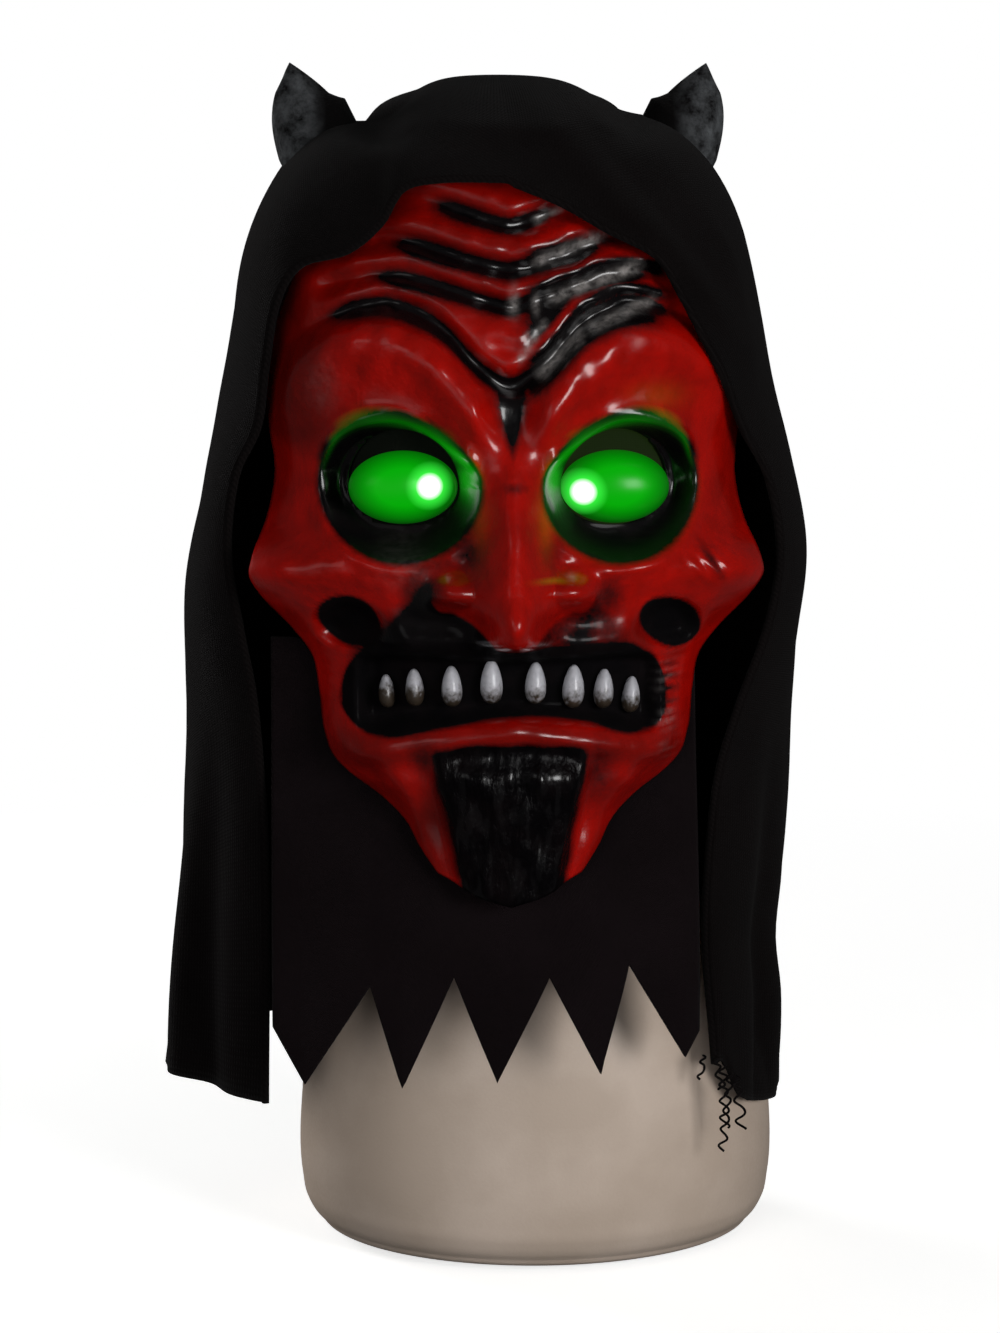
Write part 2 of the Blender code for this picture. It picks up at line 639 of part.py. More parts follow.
def make_hood():
    """Sew the two halves together along the crown and the back, and give them a wall."""
    rows = 23
    columns = 12
    points = []
    faces = []
    for side in (1, -1):
        half = push_clear(hood_half(side, rows, columns), CLOTH_CLEARANCE)
        half[0, :, 0] = HEAD_SHIFT
        half[:, -1, 0] = HEAD_SHIFT
        start = len(points)
        points += list(half.reshape(-1, 3))
        for face in grid_faces(rows, columns):
            face = [start + i for i in face]
            faces.append(tuple(face if side > 0 else reversed(face)))
    share_rows(points, rows, columns)
    hood = add_object("hood", points, faces, merge=0.0001, outward=False)
    make_outward(hood)
    set_solidify(hood, HOOD_THICKNESS, 1.0)
    give_material(hood, "Black knit fabric", (0.012, 0.009, 0.010), 0.95)
    return hood


def share_rows(points, rows, columns):
    """Give both halves the same points along the crown's middle line and the back seam."""
    size = rows * columns
    for index in list(range(columns)) + [r * columns + columns - 1 for r in range(rows)]:
        middle = (points[index] + points[size + index]) / 2
        points[index] = middle
        points[size + index] = middle


def make_outward(sheet):
    """Turn an open sheet's faces away from the head's axis."""
    out = 0.0
    for face in sheet.data.polygons:
        from_axis = face.center - Vector((HEAD_SHIFT, 0, HOOD_LEVEL - 0.05))
        out += face.area * face.normal.dot(from_axis)
    if out < 0:
        sheet.data.flip_normals()


# Bib: an apron below the jaw with a zigzag hem

# Corners of the hem: place from the head's axis, and height above the tips as a share
# of the zigzag's depth
BIB_HEM = ((-82.5, 0.49), (-71.5, -0.05), (-48.5, 0.95), (-37.5, -0.03), (-19.5, 1.05),
           (-4.5, 0.05), (13.5, 1.05), (31.5, 0.11), (41.5, 1.14), (62.0, 0.20), (67.0, 0.45))
BIB_TOP = 190.0         # upper edge under the display head's chin
BIB_BESIDE = 42.0       # how much higher it is beside the jaw
BIB_REACH = 56.0        # distance in front of the axis at its top
BIB_SWING = 31.0        # how much further in front it hangs over the foot


def bib_hem(x):
    """Height of the zigzag hem: straight lines between its corners."""
    places, shares = np.array(BIB_HEM).T
    return (BIB_TIP_HEIGHT + BIB_TOOTH * np.interp(x, places, shares)) / MM


def bib_top(x):
    """Upper edge: under the display head's chin, and higher beside the jaw."""
    return BIB_TOP + BIB_BESIDE * soft_step(50, 74, np.abs(x))


def make_bib(mask):
    """Curved sheet that hangs from behind the jaw, over the front of the foot."""
    places = [corner[0] for corner in BIB_HEM]
    x = np.concatenate([np.linspace(a, b, max(2, round((b - a) / 6)), endpoint=False)
                        for a, b in zip(places, places[1:])] + [places[-1:]])
    share = np.linspace(0, 1, 7)[:, None]
    z = bib_top(x) * (1 - share) + bib_hem(x) * share
    hang = soft_step(235, 105, z)
    y = -(BIB_REACH + BIB_SWING * hang) + (0.0016 + 0.0012 * hang) * x ** 2
    points = np.stack([HEAD_SHIFT + (x + 0 * z) * MM, y * MM, z * MM], axis=-1)
    bib = add_object("bib", points.reshape(-1, 3), grid_faces(*z.shape), outward=False)
    if bib.data.polygons[0].normal.y > 0:
        bib.data.flip_normals()
    set_solidify(bib, BIB_THICKNESS, 1.0)
    move_until(bib, mask, (0, -1, 0), 0.05)
    give_material(bib, "Black bib fabric", (0.020, 0.013, 0.016), 0.95)
    return bib


# Horns: curved cones that stand on the hood's top corners

def make_horn(side, name, hood):
    """Loft rings from the hood's surface to the tip. The lowest rings are laid on the hood."""
    sides = 12
    rings = 6
    turn = np.linspace(0, 2 * np.pi, sides, endpoint=False)
    tip = Vector((HEAD_SHIFT + side * HORN_SPREAD / 2, -HORN_AHEAD, HEAD_HEIGHT + HORN_RISE))
    lean = Vector((side * HORN_LEAN, 0.0, math.sqrt(1 - HORN_LEAN ** 2)))
    base = tip - lean * HORN_REACH
    across = Vector((side * HORN_SLOPE, 0.0, -math.sqrt(1 - HORN_SLOPE ** 2)))
    tree = world_tree(hood)
    points = []
    inward = Vector((-side * HORN_LAID, 0.0, -math.sqrt(1 - HORN_LAID ** 2)))
    for share in (0.3, 0.55, 0.8, 1.0):
        for a in turn:
            start = base + across * (HORN_BASE / 2 * share * math.cos(a))
            start += Vector((0, HORN_THICKNESS / 2 * share * math.sin(a), 0)) - inward * 0.05
            hit = tree.ray_cast(start, inward)
            points.append((hit[0] if hit[0] else start) - inward * HORN_SEAT)
    for k in range(1, rings):
        f = k / rings
        flat = across.lerp(Vector((side * 1.0, 0, 0)), min(1.0, 2 * f)).normalized()
        middle = base.lerp(tip, f)
        wide = HORN_BASE / 2 * (1 - f) ** 0.95
        thick = HORN_THICKNESS / 2 * (1 - f) ** 0.8
        points += [middle + flat * wide * math.cos(a) + Vector((0, thick * math.sin(a), 0))
                   for a in turn]
    points.append(tip)
    faces = grid_faces(4 + rings - 1, sides, round_columns=True)
    start = len(points) - 1 - sides
    faces += [(start + i, start + (i + 1) % sides, len(points) - 1) for i in range(sides)]
    faces.append(tuple(range(sides)))
    horn = add_object(name, points, faces)
    give_material(horn, "Grey painted horn " + name, (0.10, 0.11, 0.12), 0.6)
    return horn


def main():
    """Build every piece."""
    make_display_head()
    mask = make_mask()
    for side, word in ((-1, "left"), (1, "right")):
        dome = make_eye_dome(side, "eye_dome_" + word)
        make_eye_led(side, "eye_led_" + word, dome)
    hood = make_hood()
    make_bib(mask)
    for side, word in ((-1, "left"), (1, "right")):
        make_horn(side, "horn_" + word, hood)


for old in list(bpy.data.objects):
    bpy.data.objects.remove(old)
PARTS = bpy.data.collections.new(NAME)
CUTTERS = bpy.data.collections.new("cutters")
bpy.context.scene.collection.children.link(PARTS)
bpy.context.scene.collection.children.link(CUTTERS)
main()
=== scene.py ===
"""Light-up devil mask on its display head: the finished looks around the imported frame.
Metres, +Z up, the face looks along -Y, origin at the middle of the foot's underside."""

import math

import bmesh
import bpy
import numpy as np
from bpy.props import FloatProperty, FloatVectorProperty, PointerProperty
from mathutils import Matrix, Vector


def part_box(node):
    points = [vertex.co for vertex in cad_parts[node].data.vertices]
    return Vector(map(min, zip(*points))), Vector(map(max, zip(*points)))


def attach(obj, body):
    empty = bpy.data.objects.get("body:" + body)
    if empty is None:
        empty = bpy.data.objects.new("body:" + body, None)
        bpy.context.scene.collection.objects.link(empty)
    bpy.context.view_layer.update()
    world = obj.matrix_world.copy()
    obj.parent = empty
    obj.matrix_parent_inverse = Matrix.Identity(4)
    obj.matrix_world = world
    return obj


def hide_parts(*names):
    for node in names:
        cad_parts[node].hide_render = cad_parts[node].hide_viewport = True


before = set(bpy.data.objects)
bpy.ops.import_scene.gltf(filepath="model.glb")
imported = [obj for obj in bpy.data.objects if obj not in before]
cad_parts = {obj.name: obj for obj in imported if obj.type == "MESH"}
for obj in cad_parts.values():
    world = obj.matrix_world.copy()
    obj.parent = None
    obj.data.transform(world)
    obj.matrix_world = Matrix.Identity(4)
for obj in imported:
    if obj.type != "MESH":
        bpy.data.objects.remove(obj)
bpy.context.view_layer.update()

bl_info = {
    "name": "Light-up devil mask",
    "version": (1, 0, 0),
    "blender": (4, 5, 0),
    "location": "3D View > Sidebar > Devil mask",
    "description": "Mask with lit eyes, knit hood, zigzag bib and horns on a display head",
    "category": "Add Mesh",
}

MM = 0.001
HEAD_SHIFT = -0.0145        # the head stands a little to one side of its foot
HEAD_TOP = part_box("display_head")[1].z
MASK_TOP = HEAD_TOP - 0.0225
HOOD_LEVEL = HEAD_TOP + 0.0009 - 0.091   # below this the hood is no longer a dome
BROW_CLEARANCE = 2.3        # millimetres from the head's front to the mask's face over it
HEAD_MIDDLE = (HEAD_SHIFT, 0, 0.25)
BEHIND_FACE = (HEAD_SHIFT, 0.3, 0.27)


# Curves, grids and meshes

def linear(code):
    """sRGB hex to linear colour: each channel is divided by 255 and put through the sRGB curve."""
    value = np.array([int(code[i:i + 2], 16) for i in (1, 3, 5)]) / 255
    value = np.where(value <= 0.04045, value / 12.92, ((value + 0.055) / 1.055) ** 2.4)
    return tuple(float(v) for v in value)


def through(points, at):
    """Smooth curve through (place, value) points, read at the places `at`: cubic Hermite
    pieces, the slope at a point being the slope across its neighbours."""
    places, values = np.array(points, float).T
    slopes = np.gradient(values, places)
    at = np.clip(at, places[0], places[-1])
    i = np.clip(np.searchsorted(places, at) - 1, 0, len(places) - 2)
    span = places[i + 1] - places[i]
    f = (at - places[i]) / span
    return (values[i] * (1 + 2 * f) * (1 - f) ** 2 + slopes[i] * span * f * (1 - f) ** 2
            + values[i + 1] * f * f * (3 - 2 * f) - slopes[i + 1] * span * f * f * (1 - f))


def full_turn(sides):
    """Angles of this many equal steps round a circle."""
    return np.linspace(0, 2 * np.pi, sides, endpoint=False)


def soft_step(low, high, at):
    """0 below `low`, 1 above `high`, 3f^2 - 2f^3 between them."""
    f = np.clip((at - low) / (high - low), 0.0, 1.0)
    return f * f * (3 - 2 * f)


def bell(distance, half_width):
    """exp(-(distance / half width)^2)."""
    return np.exp(-(distance / half_width) ** 2)


def patch(x, z, middle_x, middle_z, half_x, half_z):
    """Radius in an oval patch: 0 in its middle, 1 on its edge."""
    return np.hypot((x - middle_x) / half_x, (z - middle_z) / half_z)


def spot(name, x, z):
    """1 in the middle of one of SPOTS, fading outwards as a bell of its own radius."""
    return bell(patch(x, z, *SPOTS[name]), 1.0)


def ripple(a, b, seed):
    """Soft unevenness between -1 and 1: three crossing sine waves of unrelated lengths."""
    return (np.sin(a + 1.7 * seed) * np.sin(b + 0.6 * seed)
            + 0.6 * np.sin(1.9 * a - 0.7 * b + 2.3 * seed)
            + 0.4 * np.sin(0.8 * a + 2.3 * b + 4.1 * seed)) / 2


def add_piece(name, points, faces, uv=None, paint=None, merge=0.0):
    """Mesh object at the origin. `uv` and each array in `paint` hold one value a vertex."""
    mesh = bpy.data.meshes.new(name)
    mesh.from_pydata(np.asarray(points).tolist(), [], [tuple(f) for f in faces])
    for key, values in (paint or {}).items():
        layer = mesh.attributes.new(key, "FLOAT", "POINT")
        layer.data.foreach_set("value", np.asarray(values, np.float32).ravel())
    if uv is not None:
        corner = np.zeros(len(mesh.loops), np.int32)
        mesh.loops.foreach_get("vertex_index", corner)
        layer = mesh.uv_layers.new(name="UVMap")
        layer.data.foreach_set("uv", np.asarray(uv, np.float32)[corner].ravel())
    if merge:
        shape = bmesh.new()
        shape.from_mesh(mesh)
        bmesh.ops.remove_doubles(shape, verts=shape.verts, dist=merge)
        shape.to_mesh(mesh)
        shape.free()
    mesh.shade_smooth()
    piece = bpy.data.objects.new(name, mesh)
    bpy.context.scene.collection.objects.link(piece)
    return piece


def grid_faces(rows, columns, around=False, start=0):
    """Quads of a grid of points numbered row by row; `around` joins the last column to the first."""
    index = start + np.arange(rows * columns).reshape(rows, columns)
    if around:
        index = np.concatenate([index, index[:, :1]], axis=1)
    corners = (index[:-1, :-1], index[:-1, 1:], index[1:, 1:], index[1:, :-1])
    return np.stack(corners, axis=-1).reshape(-1, 4).tolist()


def turn_outward(piece, middle):
    """Flip a piece whose faces look, on the whole, towards `middle`."""
    mesh = piece.data
    normals = np.zeros(len(mesh.polygons) * 3)
    centres = np.zeros(len(mesh.polygons) * 3)
    areas = np.zeros(len(mesh.polygons))
    mesh.polygons.foreach_get("normal", normals)
    mesh.polygons.foreach_get("center", centres)
    mesh.polygons.foreach_get("area", areas)
    away = centres.reshape(-1, 3) - np.asarray(middle, float)
    if (areas * (normals.reshape(-1, 3) * away).sum(-1)).sum() < 0:
        mesh.flip_normals()
    return piece


def recalculate(piece):
    """Turn the faces of closed shapes outwards."""
    shape = bmesh.new()
    shape.from_mesh(piece.data)
    bmesh.ops.recalc_face_normals(shape, faces=shape.faces)
    shape.to_mesh(piece.data)
    shape.free()
    return piece


def add_wall(piece, thickness, offset, even=True):
    """Thickness for an open surface; offset 1 grows outwards, -1 inwards."""
    wall = piece.modifiers.new("Wall", "SOLIDIFY")
    wall.thickness = thickness
    wall.offset = offset
    wall.use_even_offset = even


def tube_points(path, radius, sides, guide):
    """Grid of a round tube: circles of `radius` about the path, each in the plane across the
    path's direction, its first axis being the direction times the guide vector."""
    along = np.gradient(path, axis=0)
    along = along / np.linalg.norm(along, axis=-1, keepdims=True)
    one = np.cross(along, guide)
    one = one / np.linalg.norm(one, axis=-1, keepdims=True)
    two = np.cross(along, one)
    turn = full_turn(sides)[None, :, None]
    radius = np.broadcast_to(np.asarray(radius, float), (len(path),))[:, None, None]
    return path[:, None] + radius * (np.cos(turn) * one[:, None] + np.sin(turn) * two[:, None])


def add_tubes(name, paths, radii, sides, guides):
    """One piece from several tubes with closed round ends."""
    points = []
    faces = []
    start = 0
    for path, radius, guide in zip(paths, radii, guides):
        grid = tube_points(path, radius, sides, guide)
        points.append(grid.reshape(-1, 3))
        faces += grid_faces(len(path), sides, around=True, start=start)
        last = start + (len(path) - 1) * sides
        faces += [list(range(start, start + sides)), list(range(last, last + sides))]
        start += grid.shape[0] * sides
    return recalculate(add_piece(name, np.concatenate(points), faces))


# Materials

def set_inputs(tree, node, inputs):
    """Set inputs of a node, by name or number: each to a value, or linked to another's output."""
    for key, value in inputs.items():
        if isinstance(value, bpy.types.NodeSocket):
            tree.links.new(value, node.inputs[key])
        else:
            node.inputs[key].default_value = value


def add_node(tree, kind, inputs=None, take=0, **settings):
    """Add one node with its settings and links; `kind` is its type without ShaderNode. Gives
    its output `take`, a name or number. In the materials below a noise of scale 1 / (n * MM)
    has lumps about n millimetres across."""
    node = tree.nodes.new("ShaderNode" + kind)
    for name, value in settings.items():
        setattr(node, name, value)
    set_inputs(tree, node, inputs or {})
    return node.outputs[take]


def new_material(name, roughness, coat=0.0, coat_roughness=0.1, sheen=0.0, specular=0.5):
    """Principled material with the values that are the same all over the surface."""
    material = bpy.data.materials.new(name)
    material.use_nodes = True
    tree = material.node_tree
    shader = tree.nodes["Principled BSDF"]
    set_inputs(tree, shader, {"Roughness": roughness, "Coat Weight": coat, "Sheen Weight": sheen,
                              "Coat Roughness": coat_roughness, "Specular IOR Level": specular})
    return material, tree, shader


def colour(value):
    """Colour socket value from a linear colour or from sRGB hex."""
    value = linear(value) if isinstance(value, str) else value
    return (*tuple(value)[:3], 1.0)


def give(piece, material):
    """Put one material on a piece."""
    piece.data.materials.clear()
    piece.data.materials.append(material)


# Face of the mask. Millimetres on a face 180 wide and 261 high, heights from CHIN.
# The lines and features are the ones that the frame's mask is carved along.

FACE_HEIGHT = 261.0
CHIN = 143.0
OUTLINE = ((143, 14), (146, 19), (153.5, 25), (162, 31), (172, 37), (179, 45), (186, 55), (192, 61),
           (200, 64), (215, 66), (228, 69), (236, 75), (247, 85), (256, 90), (262, 89), (275, 84),
           (290, 81), (315, 84), (335, 82), (350, 78), (365, 71), (380, 60), (396, 43), (404, 28))
# Carved lines: height at shares of the half width, and rows down to the next line
LINES = {
    "top edge": (((0, 404), (0.5, 403), (1, 396)), 3),
    "upper wrinkle": (((0, 376), (0.25, 381), (0.5, 385), (1, 385)), 2),
    "second wrinkle": (((0, 361), (0.25, 366), (0.5, 371), (1, 369)), 2),
    "third wrinkle": (((0, 348), (0.25, 355), (0.5, 360), (1, 354)), 3),
    "brow wrinkle": (((0, 320), (0.12, 328), (0.3, 343), (0.5, 350), (0.75, 346), (1, 334)), 2),
    "brow": (((0, 303), (0.17, 316), (0.3, 328), (0.5, 337), (0.75, 334), (1, 316)), 2),
    "upper lid": (((0, 294), (0.2, 299), (0.45, 311), (0.65, 309), (0.8, 300), (1, 296)), 3),
    "eye": (((0, 286), (0.5, 287), (1, 284)), 2),
    "lower lid": (((0, 273), (0.45, 266), (0.8, 270), (1, 273)), 2),
    "cheekbone": (((0, 256), (0.5, 256), (1, 259)), 2),
    "cheek hollow": (((0, 240), (0.5, 240), (1, 246)), 2),
    "mouth top": (((0, 230), (0.5, 231), (0.8, 230), (1, 234)), 2),
    "teeth": (((0, 220), (0.5, 219), (1, 220)), 2),
    "mouth bottom": (((0, 210), (0.5, 206), (0.75, 203), (1, 205)), 1),
    "lower lip": (((0, 205), (0.5, 200), (0.75, 197), (1, 196)), 3),
    "beard": (((0, 178), (0.5, 180), (1, 182)), 2),
    "beard end": (((0, 158), (0.5, 160), (1, 165)), 2),
    "chin edge": (((0, 143), (0.5, 146), (1, 153.5)), 0),
}
FINENESS = 5            # rows for each row of the frame's mask
COLUMNS = 95            # to each side of the middle
SOCKET = (38.0, 289.0, 27.0, 25.0)
EYE_MIDDLE = (36.5, 287.5)
EYE_WIDTH = 37.6
EYE_HEIGHT = 25.2
EYE_BULGE = 12.5
SLIT_HEIGHT = 7.2
EYE_GAP = 0.4           # clear all round a dome in its opening
DOME_WALL = 0.0011
GAUZE_WALL = 0.0003
HOLLOW = (55.0, 240.0, 12.5, 9.5)
MOUTH_HALF_WIDTH = 51.0
# Middle across and up, and size, of each tooth
TEETH = ((-42.4, 216.6, 0.80), (-32.9, 218.6, 0.90), (-20.2, 219.6, 0.98), (-6.6, 221.4, 1.06),
         (8.6, 220.8, 1.0), (21.8, 219.2, 1.04), (32.6, 217.8, 0.95), (42.6, 214.8, 0.88))
OUTER_TOOTH = 42
TOOTH_HALF_WIDTH = 3.7
TOOTH_HALF_HEIGHT = 7.2
TOOTH_DEPTH = 4.8
# Oval features, paint marks, and patches of painted shade, painted highlight and painted
# green light: middle across and up, half width and half height. A feature read with the
# distance from the middle line instead of x stands on both sides.
SPOTS = {
    "nose wing": (20.5, 254.5, 9.0, 6.5), "cheek tip": (82, 257, 15, 12),
    "lip end": (57, 204, 13, 13), "nose side": (12.5, 253.5, 7.5, 8.5),
    "nostril rim": (24.5, 255.0, 5.0, 6.0), "nostril": (11.5, 243.0, 4.5, 2.6),
    "right mouth creases": (56, 216, 5.5, 12), "left mouth creases": (-60, 216, 4, 10),
    "big knot": (-71, 352, 6, 7), "small knot": (-53, 363, 6, 4.5), "right knot": (58, 362, 7, 5),
    "right cheek creases": (69, 261, 8, 7), "left hollow": (-55.0, 241.5, 10.6, 9.4),
    "right hollow": (56.0, 240.5, 11.4, 9.0), "matt under nose": (27, 239, 16, 7.5),
    "matt over beard": (0, 196, 26, 5.5), "long highlight": (1.0, 351.5, 1.5, 4.2),
    "short highlight": (8.5, 350.5, 1.1, 2.8), "highlight bars at mouth corner": (56, 210, 3.4, 10.5),
    "highlight on left cheek": (-37, 262, 8, 7), "highlight on left temple": (-64, 322, 5, 8),
    "soot between eyes": (0.5, 289.5, 4.5, 2.0), "soot beside nose": (15.0, 267, 6.0, 8.0),
    "round left wing": (-20.5, 252.5, 14.0, 12.0), "soot at left wing": (-30.5, 251, 4.6, 9.5),
    "soot at right wing": (33, 252, 5.5, 7.5), "soot at mouth corner": (55, 217, 5, 11),
    "soot right of beard": (30, 189, 7, 13), "soot left of beard": (-30, 195, 5, 7),
    "soot on left cheek": (-38, 240, 9, 7), "mark on right cheek": (70, 262, 2.0, 6.5),
    "shade beside beard": (36, 182, 7, 12), "shade on left cheek": (-64, 253, 10, 12),
    "shade over lip": (38, 237, 14, 8), "shade on left chin": (-27, 172, 8, 16),
    "shade on left wing": (-20, 254, 9, 7), "glow at lid corner": (14.5, 291.5, 2.8, 5.2),
    "glow on nose wall": (11.0, 279, 2.6, 10), "glow on right lid": (50, 319, 9, 4),
    "glow at right wing": (14, 259.0, 5.5, 0.6),
}


def line_height(name, share):
    """Height of one carved line at shares of the half width. Its corner in the middle is
    rounded off: it is read at sqrt(share^2 + 0.045^2)."""
    return through(LINES[name][0], np.hypot(share, 0.045))


def half_width(z):
    """Half width of the mask's outline."""
    return through(OUTLINE, z)


def face_depth(x, z):
    """How far the face stands forward of the head's axis: a curved sheet whose sides fall
    back, plus each feature as a bell, a step or a patch. The same formula as the frame's, with
    the forehead's folds rounded where they meet."""
    x = np.abs(x)
    share = np.clip(x / half_width(z), 0, 1)
    crown = np.where(z > 275, 0.0014, 0.0006)
    fall = through(((143, 5), (160, 12), (180, 24), (200, 36), (235, 40), (330, 42),
                    (350, 36), (380, 24), (404, 14)), z)
    sheet = 108 - crown * (z - 275) ** 2 - fall * share ** 2.6

    inner = 1 - soft_step(0.72, 0.95, share)
    relief = np.zeros_like(sheet)
    for name, depth, width in (("upper wrinkle", 3.6, 3.6), ("second wrinkle", 4.2, 3.6),
                               ("third wrinkle", 4.2, 3.8), ("brow wrinkle", 5.0, 4.2)):
        relief -= depth * inner * bell(z - line_height(name, share), width)
    brow_ends = soft_step(2, 14, x) * (1 - soft_step(0.88, 1.0, share))
    relief += 8.5 * brow_ends * bell(z - line_height("brow", share), 11)

    relief -= 13 * (1 - soft_step(0.70, 1.04, patch(x, z, *SOCKET)))
    lid = soft_step(10, 16, x) * (1 - soft_step(60, 66, x))
    relief += 6 * lid * bell(z - line_height("upper lid", share), 3.2)

    bridge = through(((229, 0), (233, 8), (237, 26), (241, 32), (256, 27), (275, 18),
                      (290, 10), (304, 3), (312, 0)), z)
    bridge_width = through(((229, 12), (245, 11), (262, 11.5), (290, 9), (312, 8)), z)
    nose = bridge * bell(x, bridge_width)
    wings = 13 * spot("nose wing", x, z)
    relief += np.maximum(nose, wings) + 0.3 * np.minimum(nose, wings)

    relief += 5 * soft_step(24, 34, x) * bell(z - 261, 7.5)
    relief += 8 * spot("cheek tip", x, z)
    relief -= 9 * (1 - soft_step(0.4, 1.15, patch(x, z, *HOLLOW)))

    mouth = 1 - soft_step(MOUTH_HALF_WIDTH - 5, MOUTH_HALF_WIDTH + 3, x)
    above = line_height("mouth top", share) - z
    below = z - line_height("mouth bottom", share)
    relief -= 10 * mouth * soft_step(-1.5, 4, above) * soft_step(-1.5, 4, below)
    relief += 6 * (1 - soft_step(50, 62, x)) * bell(z - line_height("lower lip", share), 5.5)
    relief += 4 * bell(z - 236, 5) * soft_step(12, 22, x) * (1 - soft_step(34, 46, x))

    beard_edge = 19 + (z - 155) * 0.22
    relief += 7 * (1 - soft_step(beard_edge - 4, beard_edge + 3, x)) * (1 - soft_step(188, 200, z))
    fold = np.abs(x - (40 + (z - 190) * 0.42))
    relief += 4.5 * bell(fold, 6.5) * (1 - soft_step(184, 200, z))
    relief += 5 * spot("lip end", x, z)
    return sheet + relief


def beard_share(x, z):
    """1 inside the tapering chin beard and 0 outside it."""
    left = through(((143, 12), (156, 17.5), (181, 23.0), (201, 29)), z)
    right = through(((143, 13), (156, 18.5), (181, 22.5), (201, 28)), z)
    edge = np.where(x < 0, left, right) + 1.4 * ripple(x / 9, z / 5.5, 5.0)
    top = z - 201.0 + 0.0035 * x ** 2 - 0.9 * ripple(x / 5, z / 9, 4.0)
    return (1 - soft_step(-2.8, 4.2, np.abs(x) - edge)) * (1 - soft_step(-3.0, 2.5, top))


def mouth_share(x, z):
    """1 inside the open mouth and the black sprayed round it, 0 outside."""
    top = through(((-60, 214), (-55, 226), (-50, 232), (-38, 235), (0, 235), (30, 235),
                   (45, 233), (52, 226), (57, 214)), x) + 1.2 * ripple(x / 7, z / 9, 2.0)
    low = through(((-60, 212), (-52, 204), (-43, 202.2), (-25, 206), (0, 210.0), (25, 207.8),
                   (45, 203), (52, 205), (57, 212)), x)
    inside = soft_step(-2.4, 2.4, top - z) * soft_step(-1.6, 1.6, z - low)
    return inside * (1 - soft_step(54, 59, np.abs(x + 1.5)))


def fine_relief(x, z):
    """Sculpted detail over the main forms, in millimetres: an uneven skin, rounded ridges
    between the forehead's folds, a broad nose, lumps on the lower ring of each socket, a
    roughly cut beard, creases at the mouth's corners, nostrils, and knots on the forehead."""
    side = np.abs(x)
    share = np.clip(side / half_width(z), 0, 1)
    quiet = 1 - soft_step(0.9, 1.0, share)
    relief = (0.45 * ripple(x / 6.0, z / 7.5, 1.0) + 0.30 * ripple(x / 2.9, z / 3.3, 6.0)) * quiet
    ring = patch(side, z, *SOCKET)
    around = np.arctan2(z - SOCKET[1], side - SOCKET[0])
    lower = 1 - soft_step(290, 300, z)
    lumps = np.maximum(ripple(7.5 * around + 0.9 * np.sign(x), 13 * ring, 2.0), -0.25)
    relief += 1.7 * lumps * bell(ring - 0.88, 0.14) * lower
    relief += 1.8 * bell(ring - 1.13, 0.09) * (1 - soft_step(272, 284, z))

    ridge = (1 - soft_step(0.62, 0.86, share)) * (1.4 + 0.7 * soft_step(-8, 8, x))
    wander = 1.1 * ripple(x / 13.0, z / 40.0, 4.0)
    for name, above, width in (("brow wrinkle", 8.0, 4.6), ("third wrinkle", 6.6, 3.6),
                               ("second wrinkle", 6.6, 3.6), ("upper wrinkle", 6.4, 3.4)):
        crest = line_height(name, share) + above + wander
        relief += ridge * bell(z - crest, width)
    relief += 1.2 * ridge * bell(z - line_height("third wrinkle", share) + 9, 3.6) * bell(x, 10)
    forehead = soft_step(318, 330, z) * (1 - soft_step(376, 390, z))
    relief += 0.5 * ridge * ripple(x / 3.4, z / 2.6, 7.0) * forehead

    relief += 6.0 * spot("nose side", side, z)
    relief += 3.0 * spot("nostril rim", side, z)
    relief -= 3.0 * spot("nostril", side, z)

    tuft = 0.6 * ripple(x / 1.5 + 0.5 * np.sin(z / 6.0), z / 5.5, 3.0)
    relief += (tuft + 1.3 * ripple(x / 3.4, z / 6.0, 8.0)) * beard_share(x, z)
    corner = spot("right mouth creases", x, z)
    corner += 0.6 * spot("left mouth creases", x, z)
    relief += 0.9 * corner * np.sin(2 * np.pi * z / 4.4 + 0.12 * x)
    relief += 2.2 * spot("big knot", x, z)
    relief += 1.8 * spot("small knot", x, z)
    relief += 1.4 * spot("right knot", x, z)
    cheek = spot("right cheek creases", x, z)
    relief += 0.7 * cheek * np.sin(2 * np.pi * (x + 0.9 * z) / 5.5)
    crease = bell(side - 34 - 0.3 * (z - 225), 3.0)
    return relief + 0.7 * crease * soft_step(232, 240, z) * (1 - soft_step(252, 262, z))


def part_height(z):
    """Height in the part, in metres, of a height on the face."""
    return MASK_TOP + (z - CHIN - FACE_HEIGHT) * MM


def face_point(x, z):
    """Place in the part of a point of the finely carved face."""
    reach = (face_depth(x, z) + fine_relief(x, z)) * MM
    return np.stack([HEAD_SHIFT + x * MM, -reach, part_height(z)], axis=-1)


def dome_seat(side):
    """Place in the part of one eye's middle on the face without its fine detail: what the
    domes, the gauze and the eyes' lights are set by."""
    x, z = side * EYE_MIDDLE[0], EYE_MIDDLE[1]
    reach = float(face_depth(np.array(x), np.array(z)))
    return Vector((HEAD_SHIFT + x * MM, -reach * MM, part_height(z)))


def face_grid():
    """Rows run along the carved lines and columns from edge to edge."""
    share = np.linspace(-1, 1, 2 * COLUMNS + 1)
    share = np.sign(share) * np.abs(share) ** 1.1
    names = list(LINES)
    rows = []
    for name, following in zip(names, names[1:]):
        steps = LINES[name][1] * FINENESS
        f = np.arange(steps)[:, None] / steps
        rows.append((1 - f) * line_height(name, share) + f * line_height(following, share))
    rows.append(line_height(names[-1], share)[None])
    z = np.concatenate(rows)
    return share * half_width(z), z


